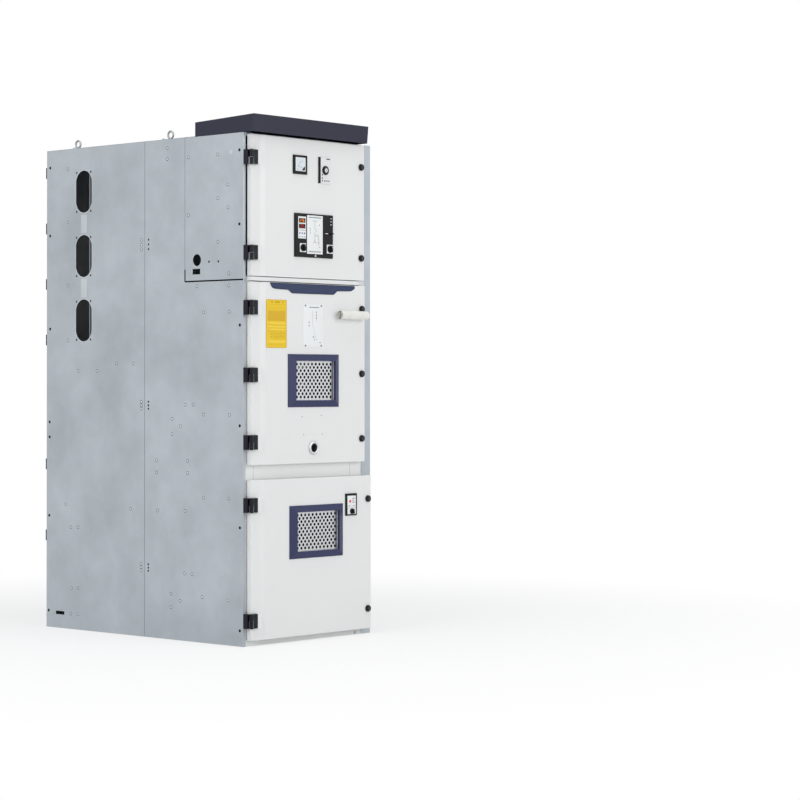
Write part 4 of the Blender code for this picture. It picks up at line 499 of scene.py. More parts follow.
def on(shape, facing, origin=(0.0, 0.0, 0.0)):
    """A local shape carried into the world, onto the face that looks that way."""
    return np.asarray(origin) + shape[0] @ np.array(FACING[facing], float), shape[1]


def add_piece(name, shapes, finish, body, smooth_degrees=40.0):
    """One object from world shapes, riding on a body."""
    points, faces = joined(shapes)
    mesh = bpy.data.meshes.new(name)
    mesh.from_pydata(points.tolist(), [], faces)
    mesh.materials.append(finish)
    mesh.shade_smooth()
    mesh.set_sharp_from_angle(angle=math.radians(smooth_degrees))
    obj = bpy.data.objects.new(name, mesh)
    bpy.context.scene.collection.objects.link(obj)
    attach(obj, body)
    return obj


def fit(name, shape, finish, body, w=0.0, facing="front"):
    """One object from a local shape, raised by w on the face that looks that way."""
    return add_piece(name, [on(shifted(shape, 0, 0, w), facing)], finish, body)


def barrel(length, radius, edge):
    """Knuckle with rounded ends, standing on its lower end."""
    return turned([(radius - edge, 0.0), (radius, edge), (radius, length - edge),
                   (radius - edge, length)], BARREL_SIDES)


def refinish(node, finish, chosen):
    """Another finish for those polygons of a node that chosen(corner points, normal) picks."""
    mesh = nodes[node].data
    mesh.materials.append(finish)
    points = np.array([vertex.co for vertex in mesh.vertices])
    for polygon in mesh.polygons:
        if chosen(points[list(polygon.vertices)], polygon.normal):
            polygon.material_index = len(mesh.materials) - 1


for door, levels in HINGE_LEVELS.items():
    for carrier, behind in HINGE_CARRIERS.items():
        refinish(carrier.format(door), hinge_paint, lambda points, normal:
                 points[:, 0].max() < HINGE_EDGE_X and -points[:, 1].max() > behind
                 and HINGE_REACH > min(abs(points[:, 2] - level).max() for level in levels))
    for i, level in enumerate(levels):
        tag = f"{door}_hinge_{i + 1}"
        spindle = (*front_axis[:2], level)
        leaf = shifted(plate(*HINGE_LEAF, HINGE_THICKNESS, HINGE_BEVEL), HINGE_LEAF_X, level,
                       HINGE_FOOT_W)
        arm = shifted(plate(*HINGE_ARM, HINGE_THICKNESS, HINGE_BEVEL), HINGE_ARM_X,
                      level + HINGE_LEAF[1] / 4, HINGE_FOOT_W)
        # The black plate behind the leaf is painted shade in the hinge's gap.
        gap_shade = shifted(plate(*GAP_SHADE_PLATE, GAP_SHADE_THICKNESS, GAP_SHADE_BEVEL), GAP_SHADE_X, level,
                          GAP_SHADE_W)
        upper = shifted(barrel(*BARREL), 0, 0, BARREL_GAP)
        add_piece(tag + "_leaf", [on(joined([leaf, arm, gap_shade]), "front"),
                  on(upper, "up", spindle)], hinge_paint, door + "_door")
        fixed = shifted(plate(*FIXED_LEAF, FIXED_LEAF_THICKNESS, HINGE_BEVEL), FIXED_LEAF_X,
                        level, FIXED_LEAF_FOOT_W)
        lower = shifted(barrel(*BARREL), 0, 0, -BARREL[0] - BARREL_GAP)
        add_piece(tag + "_knuckle", [on(fixed, "front"), on(lower, "up", spindle)], hinge_paint,
                  "enclosure")
        spots = [(HINGE_LEAF_X, level + side * HINGE_SCREW_RISE, HINGE_FOOT_W + HINGE_THICKNESS)
                 for side in (-1, 1)]
        fit(tag + "_screws", copies(screw_head(*HINGE_SCREW), spots), dark_steel,
            door + "_door")


# Lock knobs. Black moulded quarter-turn knobs: a ribbed rim round a sunk disc, with a grip bar
# across it. Each caps the plain knob that the frame brings, and turns with it.
FACE_W = 0.6803
KNOB_PROFILE = [(0.0148, 0.0), (0.0148, 0.0060), (0.0142, 0.0082), (0.0128, 0.0095),
                (0.0108, 0.0095), (0.0100, 0.0091)]
KNOB_SIDES = 40
GRIP_BAR = (0.0050, 0.0190, 0.0015)
GRIP_BAR_THICKNESS = 0.0016
GRIP_BAR_BEVEL = 0.00075
GRIP_BAR_RISE = 0.0090

for joint in frame["joints"]:
    if "_lock_" in joint["name"]:
        x, _, z = joint["pos_m"]
        body = joint["child"]
        fit(body + "_rim", shifted(turned(KNOB_PROFILE, KNOB_SIDES), x, z), black_plastic, body,
            FACE_W)
        bar = plate(*GRIP_BAR, GRIP_BAR_THICKNESS, GRIP_BAR_BEVEL)
        fit(body + "_bar", shifted(bar, x, z), grey_plastic, body,
            FACE_W + GRIP_BAR_RISE)


# Selectors and the heater's knob. Moulded in one: a fluted skirt under a low disc, a tall grip
# across it and a white line on the grip. They stand for the plain turned knobs of the frame.
KNOB_PLANE_W = 0.6876
SELECTOR_PLACES = {"selector_left": (-0.073, 1.718), "selector_right": (0.097, 1.718)}
SELECTOR_RADIUS = 0.0160
HEATER_KNOB_PLACE = (0.239, 0.556)
HEATER_KNOB_RADIUS = 0.0120
SKIRT_RISE = 0.0042
SKIRT_FLUTES = 28
SKIRT_FLUTE_DEPTH = 0.0005
DISC_FOOT = 0.0040
DISC_PROFILE = ((0.0008, 0.0), (0.0008, 0.0016), (0.0022, 0.0030))
DISC_CENTRE_RADIUS = 0.0045
GRIP_WIDTH = 0.0090
GRIP_CORNER = 0.0040
GRIP_TIP_RISE = 0.0168
GRIP_BEVEL = 0.0025
GRIP_END_INSET = 0.0015
POINTER = (0.0014, 0.0085)
POINTER_RISE = 0.0002
POINTER_INSET = 0.0025
KNOB_SMOOTH_DEGREES = 35.0


def fluted(profile, flutes, depth, sides=168):
    """Revolve about w, with each radius drawn in by depth (1 + cos (flutes t)) / 2."""
    points, faces = turned(profile, sides)
    turn = np.arctan2(points[:, 1], points[:, 0])
    radius = np.hypot(points[:, 0], points[:, 1])
    drawn_in = depth * (1 + np.cos(flutes * turn)) / 2 / radius
    points[:, :2] *= (1 - drawn_in)[:, None]
    return points, faces


def grip_knob(radius):
    """Skirt, disc and grip of a rotary knob on its plane, and the pointer line apart."""
    skirt = fluted([(radius, 0.0), (radius, SKIRT_RISE)], SKIRT_FLUTES, SKIRT_FLUTE_DEPTH)
    disc = turned([(radius - inset, DISC_FOOT + rise) for inset, rise in DISC_PROFILE]
                  + [(DISC_CENTRE_RADIUS, DISC_FOOT + DISC_PROFILE[-1][1])])
    length = 2 * (radius - GRIP_END_INSET)
    grip = plate(GRIP_WIDTH, length, GRIP_CORNER, GRIP_TIP_RISE - DISC_FOOT, GRIP_BEVEL)
    mark = shifted(plate(*POINTER, POINTER[0] / 3, POINTER_RISE, POINTER_RISE / 2), 0,
                   length / 2 - POINTER[1] / 2 - POINTER_INSET, GRIP_TIP_RISE)
    return joined([skirt, disc, shifted(grip, 0, 0, DISC_FOOT)]), mark


for body, (x, z) in {**SELECTOR_PLACES, "heater_knob": HEATER_KNOB_PLACE}.items():
    knob, mark = grip_knob(HEATER_KNOB_RADIUS if body == "heater_knob" else SELECTOR_RADIUS)
    seat = (x, -KNOB_PLANE_W, z)
    piece = add_piece(body + "_moulding", [on(knob, "front", seat)], black_plastic, body,
                      KNOB_SMOOTH_DEGREES)
    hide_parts(body)
    add_piece(body + "_pointer", [on(mark, "front", seat)], pale_plastic, body)


# Crank ring. Turned and zinc plated: a guide bush through the breaker door, with a rounded
# collar in front. It stands for the frame's ring and keeps its bore open.
CRANK_CENTRE = (0.0, 0.843)
CRANK_PROFILE = [(0.0190, -0.0200), (0.0215, -0.0200), (0.0215, 0.0), (0.0300, 0.0),
                 (0.0300, 0.0034), (0.0293, 0.0052), (0.0276, 0.0065), (0.0255, 0.0070),
                 (0.0212, 0.0070), (0.0196, 0.0062), (0.0190, 0.0045)]
CRANK_SIDES = 96

ring = turned(CRANK_PROFILE, CRANK_SIDES, looped=True)
piece = add_piece("crank_guide", [on(ring, "front", (CRANK_CENTRE[0], -FACE_W, CRANK_CENTRE[1]))],
                  zinc_steel, "breaker_door")
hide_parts("crank_ring")


# Lifting eyebolts. Forged and zinc plated, screwed through the roof into the side sheets:
# a round eye on a coned collar. They stand for the frame's plainer ones.
EYE_SPOTS = {"left_front": (-0.36, -0.15), "left_rear": (-0.36, 0.476),
             "right_front": (0.36, -0.15), "right_rear": (0.36, 0.476)}
EYE_FOOT_Z = 2.2026
EYE_CENTRE_Z = 2.2251
EYE_RADIUS = 0.0165
EYE_WIRE = 0.0045
WIRE_POINTS = 20
EYE_SIDES = 56
EYE_STEM = [(0.0060, -0.0250), (0.0060, 0.0), (0.0110, 0.0), (0.0110, 0.0025), (0.0104, 0.0034),
            (0.0078, 0.0050), (0.0056, 0.0072)]
STEM_SIDES = 32

forged_steel = plated_metal("zinc_plated_forging", "9DA0A3", 0.42)
roll = np.linspace(0.0, 2 * np.pi, WIRE_POINTS, endpoint=False)
wire_profile = np.column_stack([EYE_RADIUS + EYE_WIRE * np.cos(roll), EYE_WIRE * np.sin(roll)])
for spot, (x, y) in EYE_SPOTS.items():
    eye = on(turned(wire_profile, EYE_SIDES, looped=True), "right", (x, y, EYE_CENTRE_Z))
    stem = on(turned(EYE_STEM, STEM_SIDES), "up", (x, y, EYE_FOOT_Z))
    piece = add_piece("lifting_eye_" + spot, [eye, stem], forged_steel, "enclosure")
    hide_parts("eyebolt_" + spot)


# Panel meter. A moving-coil meter: white rim, a pale blue-white dial with an arched scale and a
# needle, and a black corner block with the zero adjuster. As on all the instruments, plates and
# print are thin relief on the recessed face: lines are narrow bars, and dots are flat studs.
RECESS_W = 0.6858
STUD_SHOULDER = 0.7
STUD_TOP = 0.85
PRINT_RISE = 0.0002
METER_BOX = (-0.11796, -0.05604, 2.05128, 2.11104)
METER_FACE = (-0.11396, -0.06004, 2.05528, 2.10704)
METER_RIM_RISE = 0.0008
METER_CORNER_CUT = 0.0200
DIAL_RISE = 0.0004
CORNER_GAP = 0.0010
CORNER_RISE = 0.0006
PIVOT_SHARE = 0.42
ADJUSTER_RADIUS = 0.0034
SCALE_MIDDLE = math.radians(135)
SCALE_SPREAD = math.radians(38)
SCALE_MARKS = 11
SCALE_REACH = (0.0330, 0.0360)
SCALE_MARK_WIDTH = 0.0004
SCALE_ARCH_WIDTH = 0.0005
NEEDLE_REACH = (0.0090, 0.0345)
NEEDLE = (0.0006, 0.0004)
TERMINAL_DASHES = ((0.004, 0.004, 0.010, 0.004), (0.014, 0.004, 0.019, 0.004))
TERMINAL_WIDTH = 0.0016


def prism(outline, rise):
    """Flat piece of any outline, from w = 0 to its rise; the outline runs counter-clockwise."""
    outline = np.asarray(outline, float)
    rings = [np.column_stack([outline, np.full(len(outline), w)]) for w in (0.0, rise)]
    return np.concatenate(rings), ring_faces(2, len(outline))


def stroke(u0, v0, u1, v1, width, rise):
    """Straight bar from one point to another: the ends move half a width to either side."""
    along = np.array([u1 - u0, v1 - v0])
    side = np.array([-along[1], along[0]]) / np.hypot(*along) * width / 2
    start, end = np.array([u0, v0]), np.array([u1, v1])
    return prism([start - side, end - side, end + side, start + side], rise)


def strokes(lines, width, rise):
    """Several bars (u0, v0, u1, v1) of one width."""
    return joined([stroke(*line, width, rise) for line in lines])


def stud(radius, rise, sides=24):
    """Flat round dot."""
    return turned([(radius, 0.0), (radius, rise * STUD_SHOULDER), (radius * STUD_TOP, rise)],
                  sides)


def box_plate(box, thickness, corner=0.0015, bevel=0.0003):
    """Plate that fills a box."""
    u0, u1, v0, v1 = box
    return shifted(plate(u1 - u0, v1 - v0, corner, thickness, bevel), (u0 + u1) / 2, (v0 + v1) / 2)


def fit_all(body, pieces):
    """Pieces on the front of one body, each as (name, local shape, w, finish, slot); the slot is not used."""
    for name, shape, w, finish, slot in pieces:
        fit(name, shape, finish, body, w)


white_print = moulded_plastic("white_face_plate", "EDEFEF", roughness=0.30, grain=0.03)
dark_print = moulded_plastic("dark_screen_print", "2B2D33", roughness=0.40, grain=0.03)
blue_print = moulded_plastic("blue_screen_print", "3C5A9C", roughness=0.40, grain=0.03)
meter_dial = moulded_plastic("meter_dial", "DDE5EA", roughness=0.25, grain=0.02)
left, right, low, high = METER_FACE
cut = METER_CORNER_CUT
dial_outline = [(left, low), (right - cut, low), (right, low + cut), (right, high), (left, high)]
corner_outline = [(right - cut + CORNER_GAP, low), (right, low), (right, low + cut - CORNER_GAP)]
pivot = np.array([right - cut * PIVOT_SHARE, low + cut * PIVOT_SHARE])


def ray(angle, near, far):
    """Line at an angle from the meter's pivot, between two distances."""
    reach = np.array([math.cos(angle), math.sin(angle)])
    return (*(pivot + near * reach), *(pivot + far * reach))


angles = SCALE_MIDDLE + np.linspace(SCALE_SPREAD, -SCALE_SPREAD, SCALE_MARKS)
marks = [ray(angle, *SCALE_REACH) for angle in angles]
arch = [(*one[:2], *following[:2]) for one, following in zip(marks, marks[1:])]
scale = joined([strokes(marks, SCALE_MARK_WIDTH, PRINT_RISE),
                strokes(arch, SCALE_ARCH_WIDTH, PRINT_RISE),
                strokes([ray(angles[1], *NEEDLE_REACH)], *NEEDLE)])
adjuster = joined([prism(corner_outline, CORNER_RISE),
                   shifted(stud(ADJUSTER_RADIUS, CORNER_RISE), *pivot, CORNER_RISE)])
dial_w = RECESS_W + METER_RIM_RISE
fit_all("relay_door", (
    ("meter_rim", box_plate(METER_BOX, METER_RIM_RISE), RECESS_W, white_print, "pale_plastic"),
    ("meter_dial", prism(dial_outline, DIAL_RISE), dial_w, meter_dial, "pale_plastic"),
    ("meter_scale", scale, dial_w + DIAL_RISE, dark_print, "black_plastic"),
    ("meter_adjuster", adjuster, dial_w, black_plastic, "black_plastic"),
    ("meter_terminal_marks", shifted(strokes(TERMINAL_DASHES, TERMINAL_WIDTH, PRINT_RISE),
                                     left, low), dial_w + DIAL_RISE, blue_print,
     "black_plastic")))


# Climate controller. Pale moulded case with a black edge strip; its round thermostat dial has
# a black fluted rim, a white centre and a slanting pointer.
BEZEL_W = 0.6873
DOT_RISE = 0.0003
CLIMATE_BOX = (0.030, 0.105, 2.005, 2.123)
CLIMATE_EDGE = (0.0314, 0.0385, 2.007, 2.121)
CLIMATE_EDGE_RISE = 0.0005
CLIMATE_EDGE_CORNER = 0.0008
CLIMATE_DIAL = (0.0675, 2.064)
CLIMATE_DIAL_W = 0.6943
CLIMATE_RIM = [(0.0095, 0.0), (0.0205, 0.0), (0.0205, 0.0035), (0.0166, 0.0064), (0.0158, 0.0075),
               (0.0100, 0.0075), (0.0095, 0.0070)]
CLIMATE_RIM_SIDES = 144
CLIMATE_FLUTES = 14
CLIMATE_FLUTE_SHARE = 0.08
CLIMATE_FLUTED_BEYOND = 0.014
CLIMATE_POINTER = (-0.0040, 0.0040, 0.0062, -0.0062)
CLIMATE_POINTER_SIZE = (0.0022, 0.0005)
CLIMATE_DOTS = ((0.25, 0.33), (0.25, 0.21), (0.25, 0.11))
CLIMATE_DOT = (0.0036, 0.0004)
CLIMATE_DASHES = ((0.40, 0.11, 0.52, 0.11), (0.57, 0.11, 0.69, 0.11), (0.74, 0.11, 0.86, 0.11),
                  (0.60, 0.93, 0.90, 0.93))
CLIMATE_DASH_WIDTH = 0.0044
LEFT_SIDE_NORMAL = -0.3


def within(box, shares):
    """Point in a box (u0, u1, v0, v1) given by its shares of the width and the height."""
    u0, u1, v0, v1 = box
    return u0 + shares[0] * (u1 - u0), v0 + shares[1] * (v1 - v0)


def lines_within(box, lines):
    """Lines given by shares of a box, as lines in local coordinates."""
    return [within(box, line[:2]) + within(box, line[2:]) for line in lines]


def dots_within(box, dots):
    """Dots given by shares of a box, as (u, v) places."""
    return [within(box, dot) for dot in dots]


refinish("climate_controller", black_plastic,
         lambda points, normal: normal.x < LEFT_SIDE_NORMAL)
rim_points, rim_faces = turned(CLIMATE_RIM, CLIMATE_RIM_SIDES, looped=True)
rim_turn = np.arctan2(rim_points[:, 1], rim_points[:, 0])
flutes = 1 - CLIMATE_FLUTE_SHARE * (1 + np.cos(CLIMATE_FLUTES * rim_turn)) / 2
outer = np.hypot(rim_points[:, 0], rim_points[:, 1]) > CLIMATE_FLUTED_BEYOND
rim_points[outer, :2] *= flutes[outer, None]
climate_print = joined([copies(stud(*CLIMATE_DOT), dots_within(CLIMATE_BOX, CLIMATE_DOTS)),
                        strokes(lines_within(CLIMATE_BOX, CLIMATE_DASHES), CLIMATE_DASH_WIDTH,
                                DOT_RISE)])
fit_all("relay_door", (
    ("climate_dial_rim", shifted((rim_points, rim_faces), *CLIMATE_DIAL), BEZEL_W,
     black_plastic, "black_plastic"),
    ("climate_dial_pointer", shifted(stroke(*CLIMATE_POINTER, *CLIMATE_POINTER_SIZE),
                                     *CLIMATE_DIAL), CLIMATE_DIAL_W, dark_print,
     "black_plastic"),
    ("climate_edge_strip", box_plate(CLIMATE_EDGE, CLIMATE_EDGE_RISE, CLIMATE_EDGE_CORNER),
     BEZEL_W, black_plastic, "black_plastic"),
    ("climate_marks", climate_print, BEZEL_W, dark_print, "black_plastic")))


# Status unit. Black case with two recessed plates: on the left a white plate with two lit
# number displays, in the middle a white mimic plate, and a dark column with a toggle on the right.
STATUS_BOX = (-0.122, 0.119, 1.677, 1.868)
STATUS_SCREEN = (-0.10222, -0.05261, 1.75772, 1.85413)
STATUS_MIMIC = (-0.04679, 0.05223, 1.69278, 1.86177)
PLATE_RISE = 0.0008
PLATE_TOP_W = RECESS_W + PLATE_RISE
DISPLAYS = {"orange": ((0.10, 0.90, 0.72, 0.92), (2, 4, 6)),
            "red": ((0.10, 0.90, 0.46, 0.66), (0, 8, 5))}
DISPLAY_GLASS = (0.0006, 0.0008)
DIGIT_SEGMENTS = {0: "abcdef", 2: "abged", 4: "fgbc", 5: "afgcd", 6: "afgecd", 8: "abcdefg"}
SEGMENT_LINES = {"a": (0, 2, 1, 2), "b": (1, 2, 1, 1), "c": (1, 1, 1, 0), "d": (0, 0, 1, 0),
                 "e": (0, 0, 0, 1), "f": (0, 1, 0, 2), "g": (0, 1, 1, 1)}
DIGIT_HEIGHT = 0.0110
DIGIT_WIDTH = 0.0058
DIGIT_STEP = 0.0092
DIGIT_INSET = 0.0075
SEGMENT_WIDTH = 0.0013
SEGMENT_SHORTENED = 0.14
SCREEN_RULE = ((0.08, 0.38, 0.92, 0.38),)
SCREEN_RULE_WIDTH = 0.0020
SCREEN_DASHES = ((0.12, 0.08, 0.30, 0.08), (0.42, 0.08, 0.60, 0.08), (0.72, 0.08, 0.90, 0.08))
DASH_WIDTH = 0.0022
SCREEN_KEYS = ((0.20, 0.24), (0.50, 0.24), (0.80, 0.24))
KEY = (0.0036, 0.0008)
MIMIC_BANDS = ((0.10, 0.945, 0.90, 0.945), (0.12, 0.06, 0.88, 0.06))
MIMIC_BAND_WIDTH = 0.0042
MIMIC_LINES = ((0.50, 0.86, 0.50, 0.66), (0.50, 0.66, 0.60, 0.58), (0.50, 0.56, 0.50, 0.34),
               (0.34, 0.86, 0.66, 0.86), (0.50, 0.34, 0.40, 0.28), (0.50, 0.34, 0.60, 0.28),
               (0.50, 0.48, 0.74, 0.48), (0.74, 0.48, 0.74, 0.30), (0.68, 0.30, 0.80, 0.30),
               (0.70, 0.27, 0.78, 0.27), (0.72, 0.24, 0.76, 0.24))
MIMIC_LINE_WIDTH = 0.0012
MIMIC_DOTS = ((0.20, 0.66), (0.20, 0.60), (0.20, 0.54), (0.78, 0.76), (0.80, 0.18))
PRINTED_DOT = (0.0021, DOT_RISE)


def part_of(box, shares):
    """Part of a box, from shares (left, right, low, high) of its width and height."""
    (left, low), (right, high) = within(box, shares[::2]), within(box, shares[1::2])
    return left, right, low, high


def number(digits, left, low):
    """Seven-segment number: each segment runs between two corners of a cell one wide and two high,
    shortened at both ends."""
    lines = []
    for i, digit in enumerate(digits):
        for name in DIGIT_SEGMENTS[digit]:
            u0, v0, u1, v1 = SEGMENT_LINES[name]
            for s in (SEGMENT_SHORTENED, 1 - SEGMENT_SHORTENED):
                lines.append((left + i * DIGIT_STEP + (u0 + (u1 - u0) * s) * DIGIT_WIDTH,
                              low + (v0 + (v1 - v0) * s) * DIGIT_HEIGHT / 2))
    return strokes([start + end for start, end in zip(lines[::2], lines[1::2])], SEGMENT_WIDTH,
                   PRINT_RISE)


def lamp_finish(name, hex_colour, strength):
    """Glowing segment under a tinted window: its colour, and the same colour given off."""
    made = moulded_plastic(name, hex_colour, roughness=0.25, grain=0.02)
    glow = made.node_tree.nodes["Principled BSDF"]
    glow.inputs["Emission Color"].default_value = linear(hex_colour)
    glow.inputs["Emission Strength"].default_value = strength
    return made


grey_print = moulded_plastic("grey_screen_print", "8E949B", roughness=0.40, grain=0.03)
display_glass = moulded_plastic("dark_display_window", "1B1214", roughness=0.12, grain=0.01)
lit = {"orange": lamp_finish("orange_segment", "FF8A2A", 0.9),
       "red": lamp_finish("red_segment", "C0202A", 0.45)}

fit("status_plates", joined([box_plate(STATUS_SCREEN, PLATE_RISE),
    box_plate(STATUS_MIMIC, PLATE_RISE)]), white_print, "relay_door", RECESS_W)
for colour, (shares, digits) in DISPLAYS.items():
    window = part_of(STATUS_SCREEN, shares)
    fit(f"status_{colour}_window", box_plate(window, *DISPLAY_GLASS), display_glass,
        "relay_door", PLATE_TOP_W)
    fit(f"status_{colour}_digits", number(digits, window[0] + DIGIT_INSET,
        (window[2] + window[3] - DIGIT_HEIGHT) / 2), lit[colour], "relay_door",
        PLATE_TOP_W + DISPLAY_GLASS[0])
mimic_print = joined([strokes(lines_within(STATUS_MIMIC, MIMIC_LINES), MIMIC_LINE_WIDTH,
                              PRINT_RISE),
                      copies(stud(*PRINTED_DOT), dots_within(STATUS_MIMIC, MIMIC_DOTS))])
bands = joined([strokes(lines_within(STATUS_MIMIC, MIMIC_BANDS), MIMIC_BAND_WIDTH, PRINT_RISE),
                strokes(lines_within(STATUS_SCREEN, SCREEN_RULE), SCREEN_RULE_WIDTH, PRINT_RISE)])
keys = joined([copies(stud(*KEY), dots_within(STATUS_SCREEN, SCREEN_KEYS)),
               strokes(lines_within(STATUS_SCREEN, SCREEN_DASHES), DASH_WIDTH, PRINT_RISE)])
fit_all("relay_door", (
    ("status_mimic_lines", mimic_print, PLATE_TOP_W, dark_print, "black_plastic"),
    ("status_grey_bands", bands, PLATE_TOP_W, grey_print, "black_plastic"),
    ("status_keys", keys, PLATE_TOP_W, blue_print, "black_plastic")))


# The status unit's dark column and lower edge: printed marks, a toggle on its bush, the white
# squares with switch positions behind the selectors, and a small round lock between them.
COLUMN_MARKS = ((0.925, 0.92, 0.96, 0.92), (0.925, 0.85, 0.96, 0.85), (0.925, 0.78, 0.96, 0.78),
                (0.79, 0.57, 0.86, 0.57))
COLUMN_MARK_WIDTH = 0.0026
TOGGLE = (0.104, 1.786)
TOGGLE_NUT = [(0.0078, 0.0), (0.0078, 0.0018), (0.0060, 0.0026), (0.0050, 0.0026)]
TOGGLE_LEVER = [(0.0030, 0.0), (0.0026, 0.0060), (0.0038, 0.0110), (0.0030, 0.0130)]
TOGGLE_LEVER_RISE = 0.0020
TOGGLE_SIDES = 20
NUT_FLATS = 6
SELECTOR_SQUARE = (0.0390, 0.0390, 0.0030)
SQUARE_RISE = 0.00025
SQUARE_BEVEL = 0.0001
POSITION_TURNS = (-45, 0, 45)
TICK_REACH = (0.0165, 0.0186)
TICK = (0.0010, 0.00015)
SMALL_LOCK = (0.005, 1.6850)
SMALL_LOCK_PROFILE = [(0.0048, 0.0), (0.0048, 0.0012), (0.0040, 0.0018), (0.0034, 0.0010)]
SMALL_LOCK_SIDES = 28

square = plate(*SELECTOR_SQUARE, SQUARE_RISE, SQUARE_BEVEL)
ticks = [[seat + reach * side for reach in TICK_REACH for seat, side in
          zip(place, (math.sin(turn), math.cos(turn)))]
         for place in SELECTOR_PLACES.values() for turn in np.radians(POSITION_TURNS)]
fit_all("relay_door", (
    ("status_column_marks", strokes(lines_within(STATUS_BOX, COLUMN_MARKS), COLUMN_MARK_WIDTH,
                                    PRINT_RISE), BEZEL_W, white_print, "pale_plastic"),
    ("status_toggle", shifted(turned(TOGGLE_LEVER, TOGGLE_SIDES), *TOGGLE),
     BEZEL_W + TOGGLE_LEVER_RISE, black_plastic, "black_plastic"),
    ("status_toggle_nut", shifted(turned(TOGGLE_NUT, NUT_FLATS), *TOGGLE), BEZEL_W, dark_steel,
     "bright_steel"),
    ("selector_squares", copies(square, SELECTOR_PLACES.values()), BEZEL_W, white_print,
     "pale_plastic"),
    ("selector_ticks", strokes(ticks, *TICK), BEZEL_W + SQUARE_RISE, dark_print,
     "black_plastic"),
    ("status_small_lock", shifted(turned(SMALL_LOCK_PROFILE, SMALL_LOCK_SIDES), *SMALL_LOCK),
     BEZEL_W, zinc_steel, "bright_steel")))


# Heater switch. Black case with a white face, a round red lens and dark position marks;
# its knob sits below the face.
HEATER_FACE = (0.21164, 0.26636, 0.57032, 0.6252)
HEATER_LOWER_FACE = (0.21164, 0.26636, 0.5435, 0.5695)
LOWER_FACE_CORNER = 0.0015
HEATER_LENS_PLACE = (0.32, 0.55)
HEATER_LENS = (0.0058, 0.0014)
HEATER_MARKS = ((0.56, 0.78, 0.88, 0.78), (0.56, 0.62, 0.80, 0.62), (0.56, 0.46, 0.88, 0.46),
                (0.14, 0.18, 0.34, 0.18), (0.66, 0.18, 0.86, 0.18))

fit_all("cable_door", (
    ("heater_face", box_plate(HEATER_FACE, PLATE_RISE), RECESS_W, white_print, "pale_plastic"),
    ("heater_lower_face", box_plate(HEATER_LOWER_FACE, SQUARE_RISE, LOWER_FACE_CORNER,
                                    SQUARE_BEVEL), BEZEL_W, white_print, "pale_plastic"),
    ("heater_lens", shifted(stud(*HEATER_LENS), *within(HEATER_FACE, HEATER_LENS_PLACE)),
     PLATE_TOP_W, lit["red"], "pale_plastic"),
    ("heater_marks", strokes(lines_within(HEATER_FACE, HEATER_MARKS), DASH_WIDTH, PRINT_RISE),
     PLATE_TOP_W, dark_print, "black_plastic")))


# Name plate of the breaker door. Pressed metal, navy, with a darker raised border; it is bare.
NAME_OUTLINE = [(-0.270, 1.5595), (-0.257, 1.5400), (-0.240, 1.5350), (-0.158, 1.5325),
                (-0.134, 1.5180), (0.128, 1.5185), (0.150, 1.5350), (0.239, 1.5375),
                (0.262, 1.5480), (0.264, 1.5590)]
NAME_CORNER = 0.005
NAME_RISE = 0.0012
NAME_EDGE = (0.0022, 0.0017)


def softened(outline, reach, steps=4):
    """Rounds each corner: a curve (1 - s)(1 - s) a + 2 s (1 - s) corner + s s b, where a and b
    lie the reach before and behind the corner."""
    outline = np.asarray(outline, float)
    before, behind = np.roll(outline, 1, 0) - outline, np.roll(outline, -1, 0) - outline
    start = outline + before * reach / np.linalg.norm(before, axis=1, keepdims=True)
    end = outline + behind * reach / np.linalg.norm(behind, axis=1, keepdims=True)
    s = np.linspace(0.0, 1.0, steps + 1)[None, :, None]
    curve = ((1 - s) ** 2 * start[:, None] + 2 * s * (1 - s) * outline[:, None]
             + s ** 2 * end[:, None])
    return curve.reshape(-1, 2)


def edging(outline, width, rise):
    """Bars along every side of an outline."""
    following = np.roll(outline, -1, 0)
    return strokes([(*a, *b) for a, b in zip(outline, following)], width, rise)


navy_plate = powder_coat("navy_name_plate", "313C5C", 0.30, shine=0.25)
name_outline = softened(NAME_OUTLINE, NAME_CORNER)
fit_all("breaker_door", (
    ("name_plate", prism(name_outline, NAME_RISE), FACE_W, navy_plate, "navy_paint"),
    ("name_plate_border", edging(name_outline, *NAME_EDGE), FACE_W, fascia_paint,
     "navy_paint")))


# Yellow instruction plate. Printed aluminium with a gold border; ruled bands and short dashes
# stand where its rows of print are.
YELLOW_BOX = (-0.292, -0.169, 1.280, 1.486)
YELLOW_CORNERS = [(-0.292, 1.280), (-0.169, 1.280), (-0.169, 1.486), (-0.292, 1.486)]
YELLOW_CORNER = 0.003
YELLOW_RISE = 0.0008
YELLOW_BANDS = {"gold": ((0.06, 0.94, 0.56, 0.77),),
                "bright": ((0.06, 0.94, 0.49, 0.53), (0.06, 0.94, 0.42, 0.455),
                           (0.06, 0.94, 0.37, 0.40), (0.06, 0.94, 0.10, 0.15))}
BAND_PLATE = (0.00015, 0.0005, 0.00005)
GOLD_RULES = ((0.06, 0.90, 0.94, 0.90), (0.06, 0.83, 0.94, 0.83), (0.06, 0.79, 0.94, 0.79),
              (0.06, 0.475, 0.94, 0.475), (0.06, 0.41, 0.94, 0.41), (0.06, 0.07, 0.94, 0.07))
RULE_WIDTH = 0.0012
BORDER = (0.0022, DOT_RISE)
TITLE_DASHES = ((0.24, 0.955, 0.32, 0.955), (0.42, 0.955, 0.66, 0.955), (0.78, 0.955, 0.84, 0.955))
TITLE_WIDTH = 0.0042
ROUND_MARKS = ((0.13, 0.50), (0.13, 0.40), (0.13, 0.35), (0.13, 0.12))
FLECK_ROWS = np.linspace(0.33, 0.20, 5)
FLECK_STEPS = np.linspace(0.22, 0.88, 8)
FLECK_LENGTHS = (0.05, 0.07)
FLECK_WIDTH = 0.0016

